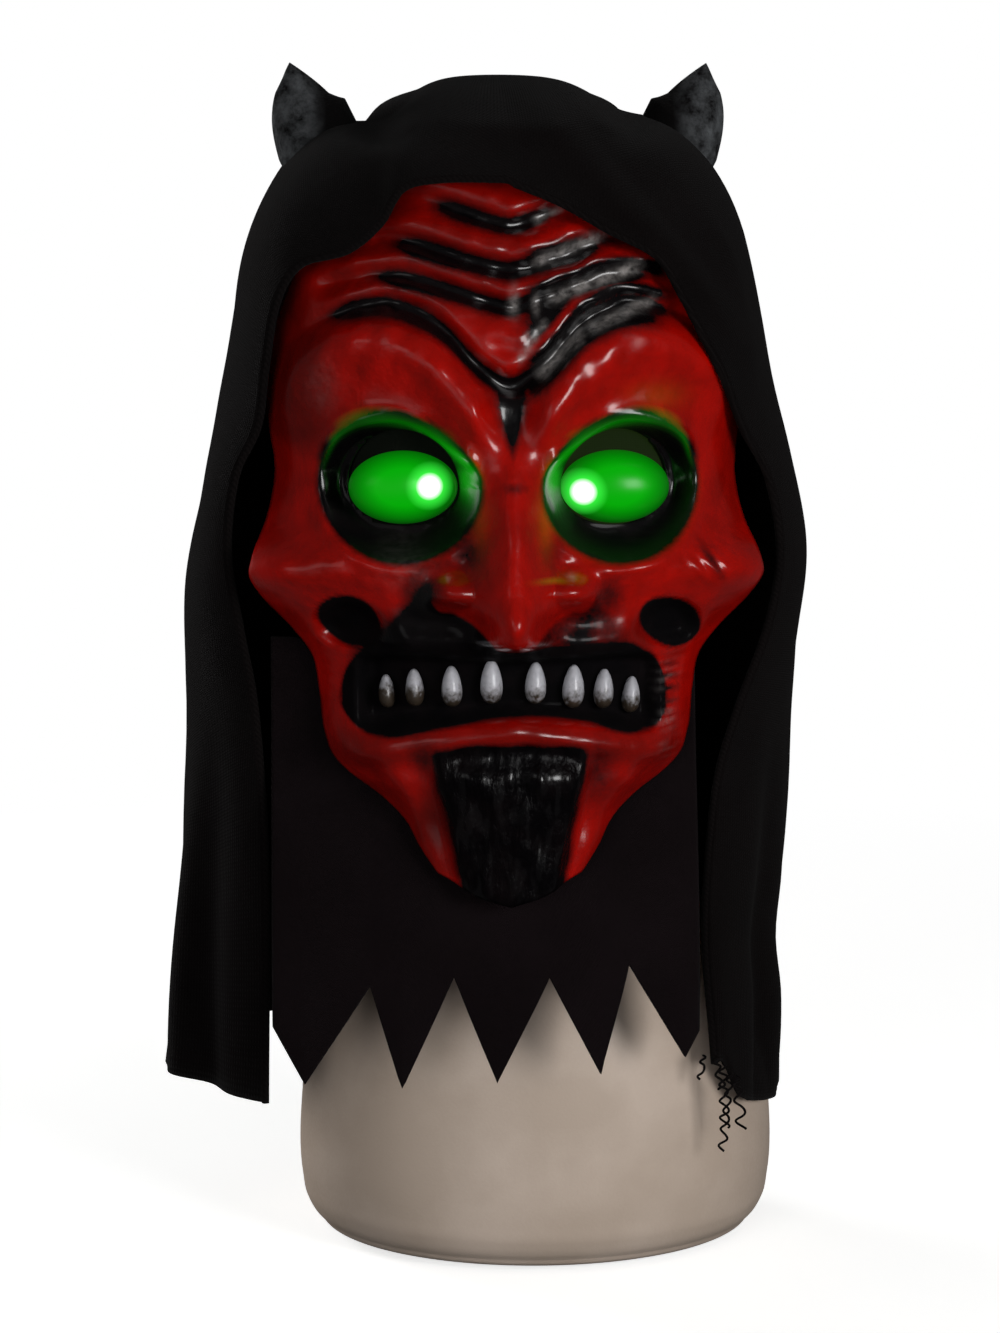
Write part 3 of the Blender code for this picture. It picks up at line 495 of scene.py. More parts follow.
def opening_radius(x, z):
    """1 on the rim of an eye opening, less inside: an oval, taller above for the slit."""
    wide = EYE_WIDTH / 2 + EYE_GAP
    high = EYE_HEIGHT / 2 + EYE_GAP + np.where(z > EYE_MIDDLE[1], SLIT_HEIGHT, 0.0)
    return np.hypot((np.abs(x) - EYE_MIDDLE[0]) / wide, (z - EYE_MIDDLE[1]) / high)


def cut_openings(x, z, faces):
    """Leave out the faces inside the eye openings, and pull the points next to the rest
    out to the rim along the opening's radius."""
    radius = opening_radius(x, z)
    inside = radius < 1
    kept = ~inside[faces].all(axis=1)
    border = np.zeros(len(x), bool)
    border[np.unique(faces[kept])] = True
    border &= inside
    grow = np.where(border, 1 / np.maximum(radius, 0.3), 1.0)
    middle = np.sign(x) * EYE_MIDDLE[0]
    return middle + (x - middle) * grow, EYE_MIDDLE[1] + (z - EYE_MIDDLE[1]) * grow, faces[kept]


def hole_share(x, z):
    """1 inside the hollows of the cheeks and 0 outside them."""
    left = patch(x + 0.25 * (z - 242), z, *SPOTS["left hollow"])
    right = patch(x, z + 0.25 * (x - 56), *SPOTS["right hollow"])
    return 1 - soft_step(0.84, 1.14, np.minimum(left, right) + 0.06 * ripple(x / 5, z / 5, 1.0))


def bare_share(x, z):
    """Where the clear gloss is missing: fully in the mouth and the cheeks' hollows, mostly in
    the lower rings of the sockets and under the nose, and half along the top of the beard."""
    bare = soft_step(0.0, 0.45, np.maximum(mouth_share(x, z), hole_share(x, z)))
    bare = np.maximum(bare, 0.80 * bell(patch(np.abs(x), z, *SPOTS["matt under nose"]) ** 2, 1.0))
    bare = np.maximum(bare, 0.85 * (1 - soft_step(0.98, 1.10, patch(np.abs(x), z, *SOCKET)))
                      * (1 - soft_step(276, 290, z)))
    return np.maximum(bare, 0.50 * bell(patch(x, z, *SPOTS["matt over beard"]) ** 2, 1.0))


def stroke(x, z, start, end, half_breadth):
    """1 along a short brush stroke between two points, fading beside it and at its ends."""
    run = np.subtract(end, start)
    along = ((x - start[0]) * run[0] + (z - start[1]) * run[1]) / (run ** 2).sum()
    beside = np.hypot(x - start[0] - along * run[0], z - start[1] - along * run[1])
    return bell(beside, half_breadth) * soft_step(-0.08, 0.12, along) * (1 - soft_step(0.85, 1.08, along))


def painted_highlight_share(x, z):
    """Painted highlights: pale streaks standing in for reflections of the light in the gloss,
    along the right ridges of the forehead, in two drops at its middle, in short bars at the
    right corner of the mouth, and thinly on the left cheek and temple."""
    wide = np.zeros_like(x)
    for start, end, half_breadth in (((8, 364), (33, 374.5), 1.5), ((13, 352), (45, 363.5), 1.8),
                                     ((26, 342), (50, 352.0), 1.4), ((9, 326), (25, 341.5), 1.5),
                                     ((2, 331), (12, 345), 1.0), ((8, 378), (24, 386), 0.9)):
        wide = np.maximum(wide, stroke(x, z, start, end, half_breadth))
    wide *= 0.72 + 0.45 * ripple(x / 1.9, z / 1.6, 3.0)
    drops = spot("long highlight", x, z)
    drops += spot("short highlight", x, z)
    comb = soft_step(0.1, 0.9, np.sin(2 * np.pi * z / 3.1 - 0.2 * x))
    bars = comb * spot("highlight bars at mouth corner", x, z)
    haze = spot("highlight on left cheek", x, z)
    haze += spot("highlight on left temple", x, z)
    return np.clip(np.maximum(wide, 0.8 * drops) + 0.75 * bars + 0.10 * haze, 0, 1)


def lid_crest(side):
    """Height of the upper lids' rim, along which the painted green light runs."""
    return through(((8, 287), (13, 295), (20, 302.5), (29, 309), (38, 312.5), (46, 313.5),
                    (54, 312), (60, 306), (64, 296)), side)


def soot_share(x, z):
    """Where black is airbrushed: the forehead's folds, between the brows, the sockets, beside
    the nose, under it, the cheeks' hollows, the mouth, and the beard. 1 is fully black."""
    side = np.abs(x)
    share = np.clip(side / half_width(z), 0, 1)
    layers = []
    wander = ripple(x / 11.0, z / 30.0, 9.0)
    for name, width, left, right in (("upper wrinkle", 3.4, 30, 20), ("second wrinkle", 3.7, 44, 36),
                                     ("third wrinkle", 3.3, 50, 52), ("brow wrinkle", 3.9, 66, 60)):
        end = np.where(x < 0, left, right)
        taper = 1 - soft_step(end - 14, end + 4, side)
        band = z - line_height(name, share) - 0.8 * wander + 1.5 * bell(x + 32, 14)
        layers.append(1.45 * bell(band, width * (0.72 + 0.28 * taper + 0.10 * wander)) * taper)
    lower = z - line_height("brow wrinkle", share) + 3.6
    layers.append(1.3 * bell(lower, 4.4) * soft_step(1, 10, x) * (1 - soft_step(42, 60, x)))
    right = soft_step(-2, 10, x) * (1 - soft_step(50, 62, x))
    crest = np.zeros_like(x)
    for name, above in (("brow wrinkle", 9.5), ("third wrinkle", 8.0), ("second wrinkle", 8.0)):
        crest = np.maximum(crest, bell(z - line_height(name, share) - above, 2.0))
    spray = (1.00 - 0.85 * crest) * right
    spray = spray * soft_step(322, 332, z - line_height("brow wrinkle", share) + 326)
    layers.append(spray * (1 - 0.55 * soft_step(368, 378, z)) * (1 - soft_step(380, 390, z)))
    pinch = soft_step(292, 312, z) * (1 - soft_step(321, 327, z))
    layers.append(1.4 * pinch * bell(x, 0.8 + 0.24 * np.maximum(z - 298, 0)))
    layers.append(0.6 * spot("soot between eyes", x, z))

    ring = patch(side, z, *SOCKET)
    under_lid = 1 - soft_step(1.0, 4.0, z - lid_crest(side)) * (1 - soft_step(44, 54, side))
    layers.append(1.3 * (1 - soft_step(0.95, 1.12, ring)) * under_lid)
    layers.append(1.0 * bell(ring - 1.02, 0.08) * soft_step(290, 300, z) * under_lid)
    beside = spot("soot beside nose", side, z)
    layers.append(beside * np.where(x < 0, 0.80, 0.42))

    under = through(((0, 231.5), (4, 233.5), (8, 238.5), (13, 243), (20, 247), (27, 250), (31, 260),
                     (36, 262)), side)
    reach = np.where(x < 0, 38 + 0.9 * (247 - z), 34 + 0.5 * (247 - z))
    below = soft_step(-1.2, 2.2, under - z) * (1 - soft_step(reach - 5, reach + 5, side))
    below *= soft_step(226, 230, z)
    layers.append(below * np.where(x < 0, 1.15, 0.74 + 0.22 * ripple(x / 4, z / 4, 3.0)))
    crevice = bell(patch(x, z, *SPOTS["round left wing"]) - 1, 0.26) * soft_step(-14, -21, x)
    layers.append(0.55 * crevice * (1 - soft_step(262, 270, z)))
    layers.append(1.2 * spot("soot at left wing", x - 0.3 * (z - 252), z))
    layers.append(0.70 * spot("soot at right wing", x, z))

    layers.append(1.5 * hole_share(x, z))
    layers.append(1.4 * mouth_share(x, z))
    smear = 0.50 + 0.4 * np.sin(2 * np.pi * z / 4.4 + 0.12 * x)
    layers.append(smear * spot("soot at mouth corner", x, z))
    layers.append(1.4 * beard_share(x, z))
    haze = spot("soot right of beard", x, z)
    haze += spot("soot left of beard", x, z)
    layers.append(0.66 * haze)
    layers.append(0.60 * spot("soot on left cheek", x, z))
    chin = (1 - soft_step(154, 160, z)) * (1 - soft_step(15, 21, np.abs(x - 1)))
    layers.append(1.4 * chin)
    marks = spot("mark on right cheek", x - 0.6 * (262 - z), z)
    layers.append(0.75 * marks)
    return np.clip(np.maximum.reduce(layers), 0, 1.2)


def painted_shade_share(x, z):
    """Painted shade that darkens the red: along the mask's outer edges, under the hood's edge at
    the top, on the left temple and the left forehead, beside the beard, over the lip, on the
    lower lip, and on the left cheek, chin and nose wing."""
    side = np.abs(x)
    share = np.clip(side / half_width(z), 0, 1)
    rim = soft_step(0.84, 1.0, share)
    left_temple = soft_step(52, 72, -x) * soft_step(292, 306, z) * (1 - soft_step(352, 372, z))
    return np.clip(np.maximum.reduce([
        0.60 * rim * soft_step(268, 285, z),
        0.30 * rim * (1 - soft_step(205, 222, z)),
        0.85 * left_temple,
        0.40 * spot("shade beside beard", side, z),
        0.18 * spot("shade on left cheek", x, z),
        0.2 * soft_step(388, 402, z),
        0.65 * spot("shade over lip", side, z),
        0.5 * soft_step(340, 352, z) * soft_step(-20, 10, -x),
        0.58 * bell(z - line_height("lower lip", share) + 2, 8),
        0.85 * spot("shade on left chin", x, z),
        0.45 * spot("shade on left wing", x, z)]), 0, 1)


def painted_green_light_share(x, z):
    """Painted green light, emission standing in for the eye lights' spill on the plastic: the
    rims of the upper lids, brightest at their inner corners, and thinly the right socket's
    ring and the right side of the nose."""
    side = np.abs(x)
    ring = patch(side, z, *SOCKET)
    span = soft_step(10, 14, side) * (1 - soft_step(58, 66, side))
    inner = 0.38 + 0.90 * (1 - soft_step(14, 36, side)) + np.where(x > 0, 0.16, 0.0)
    return np.maximum.reduce([
        inner * bell(z - lid_crest(side) + 1.5, 2.1) * span * soft_step(280, 290, z),
        1.3 * spot("glow at lid corner", side, z),
        np.where(x > 0, 0.035, 0.0) * bell(ring - 0.97, 0.10) * (1 - soft_step(286, 300, z)),
        np.where(x > 0, 0.20, 0.05) * spot("glow on nose wall", side, z),
        0.10 * spot("glow on right lid", x, z),
        0.42 * spot("glow at right wing", x, z)])


def moulded_red(settings):
    """Vacuum-formed PVC, sprayed red and then airbrushed black in its recesses, under a clear
    gloss: saturated, with small sharp highlights on an uneven skin. Inside the mouth and the
    cheeks' hollows the gloss is missing, and the beard is streaked. Painted into the colour
    are shade on the red, pale highlight streaks, and the eyes' green light as emission."""
    material, tree, shader = new_material("Vacuum-formed PVC, red with airbrushed black",
                                          roughness=0.30, coat_roughness=0.19, specular=0.08)
    place = add_node(tree, "TexCoord", take="Object")
    soot, dull, glow, bare, hair, streak = [
        add_node(tree, "Attribute", take="Fac", attribute_name=name)
        for name in ("Soot", "PaintedShade", "Glow", "Bare", "Hair", "PaintedHighlight")]
    cloud, grain, fleck, lump = [
        add_node(tree, "TexNoise", {
            "Vector": place, "Scale": 1 / (size * MM), "Detail": detail, "Roughness": 0.55})
        for size, detail in ((14.0, 3.0), (1.6, 4.0), (2.6, 4.0), (5.0, 2.0))]
    drawn = add_node(tree, "VectorMath", {0: place, 1: (1, 1, 0.3)}, operation="MULTIPLY")
    strand, tuft = [
        add_node(tree, "TexNoise", {
            "Vector": drawn, "Scale": 1 / (size * MM), "Detail": detail, "Roughness": 0.55})
        for size, detail in ((2.0, 3.0), (3.4, 1.0))]

    # Red in soft clouds of two tones, darkened where painted shade is
    clouded = add_node(tree, "MapRange", {"Value": cloud, "From Min": 0.35, "From Max": 0.65})
    red = add_node(tree, "Mix", {
        0: clouded, 6: colour("#800500"), 7: colour(settings.red)}, take=2, data_type="RGBA")
    # Painted shade: the red darkens towards a deep brown-red where the attribute says
    dulled = add_node(tree, "Math", {0: dull, 1: 0.8}, operation="MULTIPLY")
    red = add_node(tree, "Mix", {0: dulled, 6: red, 7: colour("#240402")}, take=2, data_type="RGBA")

    # Airbrushed black, its edge broken up by the grain
    speckle = add_node(tree, "Math", {0: grain, 1: 0.4}, operation="MULTIPLY")
    spray = add_node(tree, "Math", {0: soot, 1: speckle}, operation="ADD")
    cover = add_node(tree, "MapRange", {"Value": spray, "From Min": 0.3, "From Max": 1.05})
    patchy = add_node(tree, "MapRange", {"Value": cloud, "From Min": 0.4, "From Max": 0.6})
    black = add_node(tree, "Mix", {
        0: patchy, 6: colour(settings.black), 7: colour("#070405")}, take=2, data_type="RGBA")
    painted = add_node(tree, "Mix", {0: cover, 6: red, 7: black}, take=2, data_type="RGBA")

    # Painted highlights: pale grey streaks in the colour, standing in for reflections in the gloss
    broken = add_node(tree, "MapRange", {
        "Value": fleck, "From Min": 0.3, "From Max": 0.62, "To Min": 0.15})
    highlight_cover = add_node(tree, "Math", {0: streak, 1: broken}, operation="MULTIPLY")
    painted = add_node(tree, "Mix", {
        0: highlight_cover, 6: painted, 7: colour("#86817E")}, take=2, data_type="RGBA")

    # Clear gloss, missing in the bare places and on every other tuft of the beard
    between_tufts = add_node(tree, "MapRange", {"Value": tuft, "From Min": 0.62, "From Max": 0.5})
    matt_hair = add_node(tree, "Math", {0: hair, 1: between_tufts}, operation="MULTIPLY")
    matt = add_node(tree, "Math", {0: bare, 1: matt_hair}, operation="MAXIMUM")
    gloss = add_node(tree, "MapRange", {
        "Value": matt, "From Min": 0.0, "From Max": 1.0, "To Min": 0.72, "To Max": 0.02})
    grainy = add_node(tree, "MapRange", {
        "Value": grain, "From Min": 0.3, "From Max": 0.7, "To Min": 0.26, "To Max": 0.42})
    chalky = add_node(tree, "Math", {0: bare, 1: 0.9}, operation="MULTIPLY")
    rough = add_node(tree, "Math", {0: grainy, 1: chalky}, operation="MAXIMUM")

    # Painted green light: emission standing in for the eyes' light spilled on the plastic
    lit = add_node(tree, "Mix", {
        0: glow, 6: (0, 0, 0, 1), 7: colour("#05A005")}, take=2, data_type="RGBA")

    # Uneven skin, with strands in the beard
    fine = add_node(tree, "Math", {0: grain, 1: 0.16}, operation="MULTIPLY")
    skin = add_node(tree, "Math", {0: lump, 1: fine}, operation="ADD")
    combed = add_node(tree, "Math", {0: strand, 1: hair}, operation="MULTIPLY")
    combed = add_node(tree, "Math", {0: combed, 1: 1.5}, operation="MULTIPLY")
    height = add_node(tree, "Math", {0: skin, 1: combed}, operation="ADD")
    relief = add_node(tree, "Bump", {"Height": height, "Distance": 0.9 * MM, "Strength": 0.6})

    set_inputs(tree, shader, {"Base Color": painted, "Coat Weight": gloss, "Roughness": rough,
                              "Emission Color": lit, "Emission Strength": 0.55, "Normal": relief})
    return material


def tooth_resin():
    """Moulded in with the face and brushed ivory, then stained brown towards the tip."""
    material, tree, shader = new_material("Brushed ivory paint with brown stain",
                                          roughness=0.38, coat=0.3)
    place = add_node(tree, "TexCoord", take="Object")
    stain = add_node(tree, "Attribute", take="Fac", attribute_name="Stain")
    grain = add_node(tree, "TexNoise", {
        "Vector": place, "Scale": 1 / (1.8 * MM), "Detail": 4.0, "Roughness": 0.55})
    speckle = add_node(tree, "Math", {0: grain, 1: 0.9}, operation="MULTIPLY")
    worn = add_node(tree, "Math", {0: stain, 1: speckle}, operation="ADD")
    brown = add_node(tree, "MapRange", {"Value": worn, "From Min": 1.02, "From Max": 1.42})
    ivory = add_node(tree, "Mix", {
        0: grain, 6: colour("#8E8E94"), 7: colour("#B8B7BC")}, take=2, data_type="RGBA")
    painted = add_node(tree, "Mix", {0: brown, 6: ivory, 7: colour("#2E261E")}, take=2, data_type="RGBA")
    relief = add_node(tree, "Bump", {"Height": grain, "Distance": 0.4 * MM, "Strength": 0.5})
    set_inputs(tree, shader, {"Base Color": painted, "Normal": relief})
    return material


def add_teeth():
    """Each tooth is a leaf-shaped closed form: its half width follows sin(t)^0.85 (1 - 0.26
    cos t) from root to tip, so that it is fullest below the middle. It stands a little off the
    gums and leans towards the middle."""
    t = np.linspace(0, np.pi, 25)[:, None]
    turn = full_turn(24)[None, :]
    shape = np.sin(t) ** 0.85 * (1 - 0.26 * np.cos(t)) / 1.05
    across = shape * np.cos(turn)
    deep = shape * np.sin(turn)
    down = -np.cos(t) + 0 * turn
    points = []
    faces = []
    stain = []
    for x, z, size in TEETH:
        base = face_depth(np.array(x), np.array(z)) + 2.5
        lean = -0.05 * x / OUTER_TOOTH
        height = TOOTH_HALF_HEIGHT * size
        sideways = x + TOOTH_HALF_WIDTH * size * across + lean * height * down
        grid = np.stack([HEAD_SHIFT + sideways * MM, -(base + TOOTH_DEPTH * deep) * MM,
                         part_height(z - height * down)], axis=-1)
        start = len(points) * t.size * turn.size
        points.append(grid.reshape(-1, 3))
        faces += grid_faces(t.size, turn.size, around=True, start=start)
        outer = 0.22 * np.abs(x) / OUTER_TOOTH + 0.25 * soft_step(15, 45, -x)
        stain.append((0.5 + 0.5 * down + outer).ravel())
    teeth = add_piece("teeth", np.concatenate(points), faces, paint={"Stain": np.concatenate(stain)},
                      merge=1e-6)
    return recalculate(teeth)


# Hood. Each edge of the face opening goes from the crown to the hem: across, along, and up.
# Each width is a height and the half width of that side there.

RIGHT_EDGE = ((0, -98, 391), (17, -97, 384), (33, -96, 375), (50, -92, 366), (59, -90, 352),
              (66, -88, 339), (75, -80, 322), (82, -72, 306), (92, -64, 288), (97, -60, 262),
              (93, -60, 235), (82, -63, 205), (74, -66, 175), (71, -67, 120), (75, -66, 64))
LEFT_EDGE = ((0, -98, 392), (22, -97, 392), (36, -95, 389), (44, -94, 377), (55, -91, 368),
             (71, -83, 363), (79, -78, 350), (83, -73, 328), (86, -68, 307), (94, -64, 289),
             (97, -60, 262), (93, -60, 235), (88, -61, 205), (85, -62, 150), (86, -62, 64))
RIGHT_WIDTH = ((60, 105), (99, 106), (119, 104), (142, 107), (199, 110), (266, 109),
               (296, 104), (322, 99), (336, 96))
LEFT_WIDTH = ((60, 126), (106, 122), (144, 119), (201, 116), (238, 115), (264, 111),
              (286, 106), (312, 102), (336, 96))
HEM = 62.0
DOME_DROP = 91.0
DOME_HALF_WIDTH = 92.0
SQUARENESS = 2.4
HOOD_ROWS = 150
HOOD_COLUMNS = 84
HOOD_CLEARANCE = 0.0017
ROLL_RADIUS = 0.0014
ROLL_LIFT = 0.0006
THREAD_RADIUS = 0.00045
# A long crease over the right brow: where it starts, the way it runs, and its length
CREASE_START = (-4, 416)
CREASE_RUN = (66, -75)
CREASE_LENGTH = 99.9


def head_stations():
    """Height, half width, front reach and back reach of the display head's oval sections."""
    foot, deep, neck, neck_front, neck_back = 88.0, 75.0, 53.0, 54, 60
    rounding, foot_top, taper, flatter_back = 20, 52, 126, 5
    rows = []
    for turn in np.radians([0, 22, 45, 68, 90]):
        inset = rounding * (1 - math.sin(turn))
        rows.append((rounding * (1 - math.cos(turn)), foot - inset, deep - inset,
                     deep - inset - flatter_back))
    rows.append((foot_top, foot, deep, deep - flatter_back))
    for share, spread in ((0.22, 0.90), (0.42, 0.68), (0.60, 0.40), (0.80, 0.13), (1.0, 0.0)):
        rows.append((foot_top + share * taper, neck + spread * (foot - neck),
                     neck_front + spread * (deep - neck_front),
                     neck_back + spread * (deep - flatter_back - neck_back)))
    chin, tall, half, back = 221.5, 205.0, 73.5, 96.0
    bridge = np.linspace(312, 334, 45)
    brow = face_depth(0 * bridge, bridge) + fine_relief(0 * bridge, bridge)
    front = float(brow.min()) - BROW_CLEARANCE
    for share, width, ahead, behind in ((-0.11, 0.72, 0.66, 0.68), (-0.02, 0.72, 0.90, 0.75),
                                        (0.12, 0.80, 0.88, 0.88), (0.30, 0.93, 0.87, 0.97),
                                        (0.50, 1.0, 1.0, 1.0), (0.68, 0.97, 0.90, 0.96),
                                        (0.82, 0.84, 0.75, 0.82), (0.92, 0.63, 0.55, 0.61),
                                        (0.98, 0.35, 0.31, 0.34)):
        rows.append((chin + share * tall, half * width, front * ahead, back * behind))
    rows.append((426.5, half * 0.06, front * 0.06, back * 0.06))
    return rows


def head_oval(height):
    """Half width, front reach and back reach of the head, in metres, at some heights."""
    rows = head_stations()
    return [through([(r[0], r[k]) for r in rows], height / MM) * MM for k in (1, 2, 3)]


def head_shift(height):
    """Sideways place of the head's middle: over the foot below, beside it from the jaw up."""
    return HEAD_SHIFT * soft_step(0.052, HEAD_TOP - 0.205, height)


def hood_width(widths, drop):
    """Half width of the hood below its dome, as a share of the dome's own."""
    return through(widths, widths[-1][0] - drop) / widths[-1][1]


def hood_ahead(drop):
    """Front reach of the hood's ovals at a drop below the dome."""
    return 118 - 30 * soft_step(0, 90, drop)


def squarer(direction):
    """How much further a squared-off dome reaches than a round one in a unit direction:
    (across^p + up^p)^(-1/p)."""
    across = np.hypot(direction[..., 0], direction[..., 1]) ** SQUARENESS
    return (across + np.abs(direction[..., 2]) ** SQUARENESS)[..., None] ** (-1 / SQUARENESS)


def hood_half(side):
    """One half of the hood's inner face, rows from the crown's middle line to the hem.
    Along a row a direction turns evenly from the front edge to the back seam over an oval
    dome; below the dome the same directions are spread on ovals that widen to the hem. Gives
    the shares across and down, the turns, the drops and the points in millimetres."""
    edge = np.array(RIGHT_EDGE if side > 0 else LEFT_EDGE, float)
    places = np.linspace(0, 1, len(edge))
    u = np.linspace(0, 1, HOOD_ROWS)
    level = HOOD_LEVEL / MM
    front = np.stack([through(list(zip(places, edge[:, k])), u) for k in range(3)], axis=-1)
    up = np.maximum(front[:, 2] - level, 0)
    down = np.maximum(level - front[:, 2], 0)
    widths = RIGHT_WIDTH if side > 0 else LEFT_WIDTH
    start = np.stack([front[:, 0] / (hood_width(widths, down) * DOME_HALF_WIDTH),
                      front[:, 1] / hood_ahead(down), up / DOME_DROP], axis=-1)
    size = np.linalg.norm(start, axis=-1, keepdims=True)
    start = start / size
    size = size / squarer(start)
    back_turn = np.radians(through(((0, 100), (0.2, 125), (0.45, 165), (0.62, 180), (1, 180)), u))
    back_down = (level - HEM) * soft_step(0.5, 1.0, u)
    seam = np.stack([np.zeros(HOOD_ROWS), -np.cos(back_turn), np.sin(back_turn)], axis=-1)

    v = np.linspace(0, 1, HOOD_COLUMNS) ** 1.15
    angle = np.arccos(np.clip((start * seam).sum(-1), -1, 1))[:, None, None]
    turned = (np.sin((1 - v)[None, :, None] * angle) * start[:, None, :]
              + np.sin(v[None, :, None] * angle) * seam[:, None, :]) / np.sin(angle)
    reach = 1 + (size[:, None, :] - 1) * (1 - soft_step(0.0, 0.35, v))[None, :, None]
    turned = turned * reach * squarer(turned)
    drop = down[:, None] * (1 - v) + back_down[:, None] * v
    z = level + DOME_DROP * turned[..., 2] - drop
    if side > 0:
        z = z - 11 * soft_step(0.8, 1.0, u)[:, None] * bell(v - 0.24, 0.17)
    width = hood_width(widths, drop) * DOME_HALF_WIDTH
    ahead = hood_ahead(drop)
    behind = through(((0, 105), (90, 110), (180, 117), (280, 124)), drop)
    turn = np.arctan2(turned[..., 0], -turned[..., 1])
    return v, u, turn, drop, np.stack([
        side * width * turned[..., 0], np.where(turned[..., 1] < 0, ahead, behind) * turned[..., 1],
        z], axis=-1)


def hood_folds(side, v, turn, drop):
    """Radial push in millimetres: the panels' deep hanging folds, finer creases that wander
    between them, and slack gathers under the crown. Nothing at the edge and the seam."""
    phase = 0.8 if side > 0 else 2.0
    free = soft_step(0.0, 0.2, v)[None, :] * (1 - soft_step(0.9, 1.0, v)[None, :])
    deep = soft_step(60, 270, drop) * 4.5 * np.sin(9 * turn + phase)
    fine = soft_step(90, 250, drop) * 1.5 * np.sin(21 * turn + 2.2 * np.sin(drop / 48) + phase)
    slack = 1.3 * bell(drop - 60, 90) * ripple(7 * turn + drop / 30, drop / 22, phase)
    return (deep + fine + slack) * free * soft_step(0, 30, drop)


def spread_out(needed, rounds):
    """Smooth a push over a grid without letting it fall below what is needed anywhere."""
    push = needed.copy()
    for _ in range(rounds):
        wide = np.pad(push, 1, mode="edge")
        around = (wide[:-2, 1:-1] + wide[2:, 1:-1] + wide[1:-1, :-2] + wide[1:-1, 2:]) / 4
        push = np.maximum(needed, around)
    return push


def push_clear(points, clearance):
    """Move cloth outwards where it lies closer than `clearance` to the head or the mask."""
    points = points.copy()
    wide, front, back = head_oval(points[..., 2])
    axis = head_shift(points[..., 2])
    reach = np.where(points[..., 1] < 0, front, back)
    x = points[..., 0] - axis
    radius = np.hypot(x / (wide + clearance), points[..., 1] / (reach + clearance))
    near = (radius < 1) & (points[..., 2] < HEAD_TOP - 0.004) & (radius > 0.05)
    grow = np.where(near, 1 / np.maximum(radius, 0.05), 1.0)
    points[..., 0] = axis + x * grow
    points[..., 1] *= grow
    face_x = (points[..., 0] - HEAD_SHIFT) / MM
    face_z = points[..., 2] / MM
    beyond = np.abs(face_x) - half_width(face_z) - 1.5
    over = 1 - soft_step(0, 3 + 9 * soft_step(330, 380, face_z), beyond)
    over *= (1 - soft_step(404, 416, face_z)) * soft_step(290, 298, face_z) * (points[..., 1] < -0.04)
    height = np.clip(face_z, CHIN, CHIN + FACE_HEIGHT)
    wanted = (face_depth(face_x, height) + fine_relief(face_x, height)) * MM + clearance
    needed = over * np.maximum(wanted + points[..., 1], 0)
    points[..., 1] -= spread_out(needed, rounds=60)
    return points


def hood_sheet():
    """Both halves as one grid, from the right edge round the back to the left edge."""
    halves = []
    for side in (1, -1):
        v, u, turn, drop, points = hood_half(side)
        grow = 1 + hood_folds(side, v, turn, drop) / 110
        points[..., :2] *= grow[..., None]
        slack = bell(np.abs(points[..., 0]) - 43, 14) * soft_step(396, 416, points[..., 2])
        points[..., 2] -= (5.5 if side > 0 else 9.0) * slack
        points[..., 0] += HEAD_SHIFT / MM
        points = push_clear(points * MM, HOOD_CLEARANCE)
        x, z = points[..., 0] / MM, points[..., 2] / MM
        if side > 0:
            off_x, off_z = x - CREASE_START[0], z - CREASE_START[1]
            run_x, run_z = CREASE_RUN
            along = (off_x * run_x + off_z * run_z) / (run_x ** 2 + run_z ** 2)
            beside = (off_z * run_x - off_x * run_z) / CREASE_LENGTH
            crease = bell(beside, 5.5) - 0.45 * bell(beside - 9, 5)
            lift = 2.6 * crease * bell(along - 0.5, 0.62) * (points[..., 1] < -0.03)
            lift *= soft_step(0.0, 0.06, v)[None, :]
            points[..., 1] -= np.maximum(lift, -0.4) * MM
            frayed = 15 * (1 - soft_step(0, 0.085, v))
            frayed = frayed + 1.4 * np.sin(90 * v) * (1 - soft_step(0.05, 0.12, v))
        else:
            frayed = 2 * soft_step(0.05, 0.2, v) * (1 - soft_step(0.25, 0.6, v))
        points[..., 2] += frayed[None, :] * soft_step(0.86, 1.0, u)[:, None] * MM
        halves.append(points)
    right, left = halves
    right[0, :, 0] = left[0, :, 0] = HEAD_SHIFT
    right[0] = left[0] = (right[0] + left[0]) / 2
    right[:, -1] = left[:, -1] = (right[:, -1] + left[:, -1]) / 2
    right[:, -1, 0] = HEAD_SHIFT
    return np.concatenate([right, left[:, -2::-1]], axis=1)


def cloth_map(grid):
    """Real metres across and along the cloth: lengths summed along rows from the middle
    column, and down the columns' mean."""
    across = np.linalg.norm(np.diff(grid, axis=1), axis=-1)
    across = np.pad(np.cumsum(across, axis=1), ((0, 0), (1, 0)))
    middle = grid.shape[1] // 2
    across = across - across[:, middle:middle + 1]
    down = np.linalg.norm(np.diff(grid, axis=0), axis=-1).mean(axis=1)
    down = np.pad(np.cumsum(down), (1, 0))
    return np.stack([across, np.broadcast_to(down[:, None], across.shape)], axis=-1).reshape(-1, 2)


